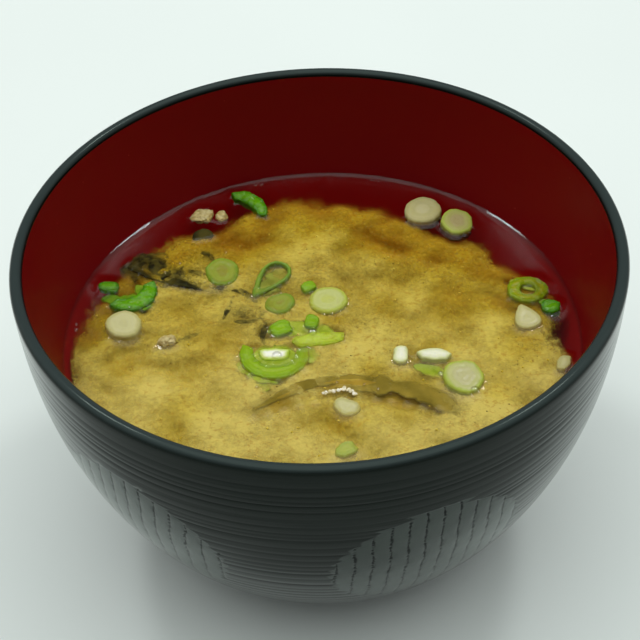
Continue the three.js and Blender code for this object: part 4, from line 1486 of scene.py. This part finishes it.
class MISO_OT_stage(bpy.types.Operator):
    """Makes the floor, the light and the camera"""

    bl_idname = "miso.stage"
    bl_label = "Floor, Light and Camera"

    def execute(self, context):
        settings = context.scene.miso_stage
        half_floor = 3000.0
        corners = [(x * half_floor, y * half_floor, 0.0) for x, y in ((-1, -1), (1, -1), (1, 1), (-1, 1))]
        write_mesh("floor", corners, [(0, 1, 2, 3)], [studio_paper(settings)])
        context.scene.world = surroundings(settings)
        for side in (-1, 1):
            lamp = bpy.data.lights.new("soft_box", "AREA")
            lamp.shape = "SQUARE"
            lamp.size = SOFT_BOX["size"] * MM
            lamp.energy = settings.lamp
            box = link_object("soft_box", lamp)
            box.location = Vector((SOFT_BOX["x"] * side, SOFT_BOX["y"], SOFT_BOX["z"])) * MM
            box.rotation_euler = Vector(box.location).to_track_quat("Z", "Y").to_euler()
        camera = bpy.data.cameras.new("camera")
        camera.lens = CAMERA_LENS
        eye = link_object("camera", camera)
        place, target = Vector(CAMERA_PLACE) * MM, Vector(CAMERA_TARGET) * MM
        aim = (target - place).to_track_quat("-Z", "Y").to_matrix()
        roll = Matrix.Rotation(math.radians(CAMERA_ROLL), 3, "Z")
        eye.matrix_world = Matrix.Translation(place) @ (aim @ roll).to_4x4()
        context.scene.camera = eye
        context.scene.view_settings.view_transform = "Standard"
        context.scene.cycles.transparent_max_bounces = CLEAR_LAYERS
        return {"FINISHED"}


def studio_paper(settings):
    """Seamless matt paper, very slightly mottled."""
    material, add = new_material("studio_paper")
    place = add(PLACE).outputs["Object"]
    mottle = add(NOISE, {"Vector": place, "Scale": texture_scale(120.0), "Detail": 2.0})
    darker = [c * 0.985 for c in settings.floor]
    tone = add(RAMP, (mottle,), stops=[(0.3, darker), (0.7, settings.floor)])
    look = {"Base Color": tone, "Roughness": 0.8, "Specular IOR Level": 0.1}
    add(OUTPUT, {"Surface": add(SHADER, look)})
    return material


def surroundings(settings):
    """White surroundings, brightest overhead, dark low down in front and dim behind."""
    world = bpy.data.worlds.new("surroundings")
    world.use_nodes = True
    world.node_tree.nodes.clear()
    add = partial(add_node, world.node_tree)
    direction = add(PLACE).outputs["Generated"]
    axes = add(SPLIT, (direction,)).outputs
    bright = add(RANGE, (axes["Z"], 0.72, 0.93, settings.surround, settings.overhead), **SMOOTH)
    front = add(RANGE, (axes["Y"], -0.18, -0.55), **SMOOTH)
    low = add(RANGE, (axes["Z"], 0.86, 0.7), **SMOOTH)
    unlit = add(MATH, (front, low), operation="MULTIPLY")
    back = add(RANGE, (axes["Y"], 0.4, 0.65), **SMOOTH)
    under = add(RANGE, (axes["Z"], 0.84, 0.74), **SMOOTH)
    dim = add(MATH, (back, under), operation="MULTIPLY")
    dark_in_front = add(RANGE, (unlit, 0.0, 1.0, 1.0, 0.4), **SMOOTH)
    dim_behind = add(RANGE, (dim, 0.0, 1.0, 1.0, 0.3), **SMOOTH)
    lit = add(MATH, (bright, dark_in_front), operation="MULTIPLY")
    strength = add(MATH, (lit, dim_behind), operation="MULTIPLY")
    background = add("ShaderNodeBackground", {"Color": linear("#fbfdfc"), "Strength": strength})
    add("ShaderNodeOutputWorld", {"Surface": background})
    return world


# ---------------------------------------------------------------- panel and registration

STEPS = (
    MISO_OT_bowl,
    MISO_OT_broth,
    MISO_OT_scallion,
    MISO_OT_floating,
    MISO_OT_sunk,
    MISO_OT_bubbles,
    MISO_OT_stage,
)
GROUPS = {
    "miso_lacquer": MISO_PG_lacquer,
    "miso_soup": MISO_PG_soup,
    "miso_garnish": MISO_PG_garnish,
    "miso_stage": MISO_PG_stage,
}


class MISO_PT_panel(bpy.types.Panel):
    """Lists the pieces and the sizes and colours that can be changed"""

    bl_idname = "MISO_PT_panel"
    bl_label = "Miso Soup"
    bl_space_type = "VIEW_3D"
    bl_region_type = "UI"
    bl_category = "Miso Soup"

    def draw(self, context):
        for group in GROUPS:
            settings = getattr(context.scene, group)
            box = self.layout.box()
            for name in type(settings).__annotations__:
                box.prop(settings, name)
        for step in STEPS:
            self.layout.operator(step.bl_idname)


def register():
    """Registers the settings, operators and panel."""
    for group, kind in GROUPS.items():
        bpy.utils.register_class(kind)
        setattr(bpy.types.Scene, group, PointerProperty(type=kind))
    for step in STEPS:
        bpy.utils.register_class(step)
    bpy.utils.register_class(MISO_PT_panel)


def unregister():
    """Takes them away again, in the other order."""
    bpy.utils.unregister_class(MISO_PT_panel)
    for step in reversed(STEPS):
        bpy.utils.unregister_class(step)
    for group, kind in reversed(GROUPS.items()):
        delattr(bpy.types.Scene, group)
        bpy.utils.unregister_class(kind)


def main():
    """Makes every piece in turn."""
    register()
    for step in STEPS:
        section, name = step.bl_idname.split(".")
        getattr(getattr(bpy.ops, section), name)()


if __name__ == "__main__":
    main()
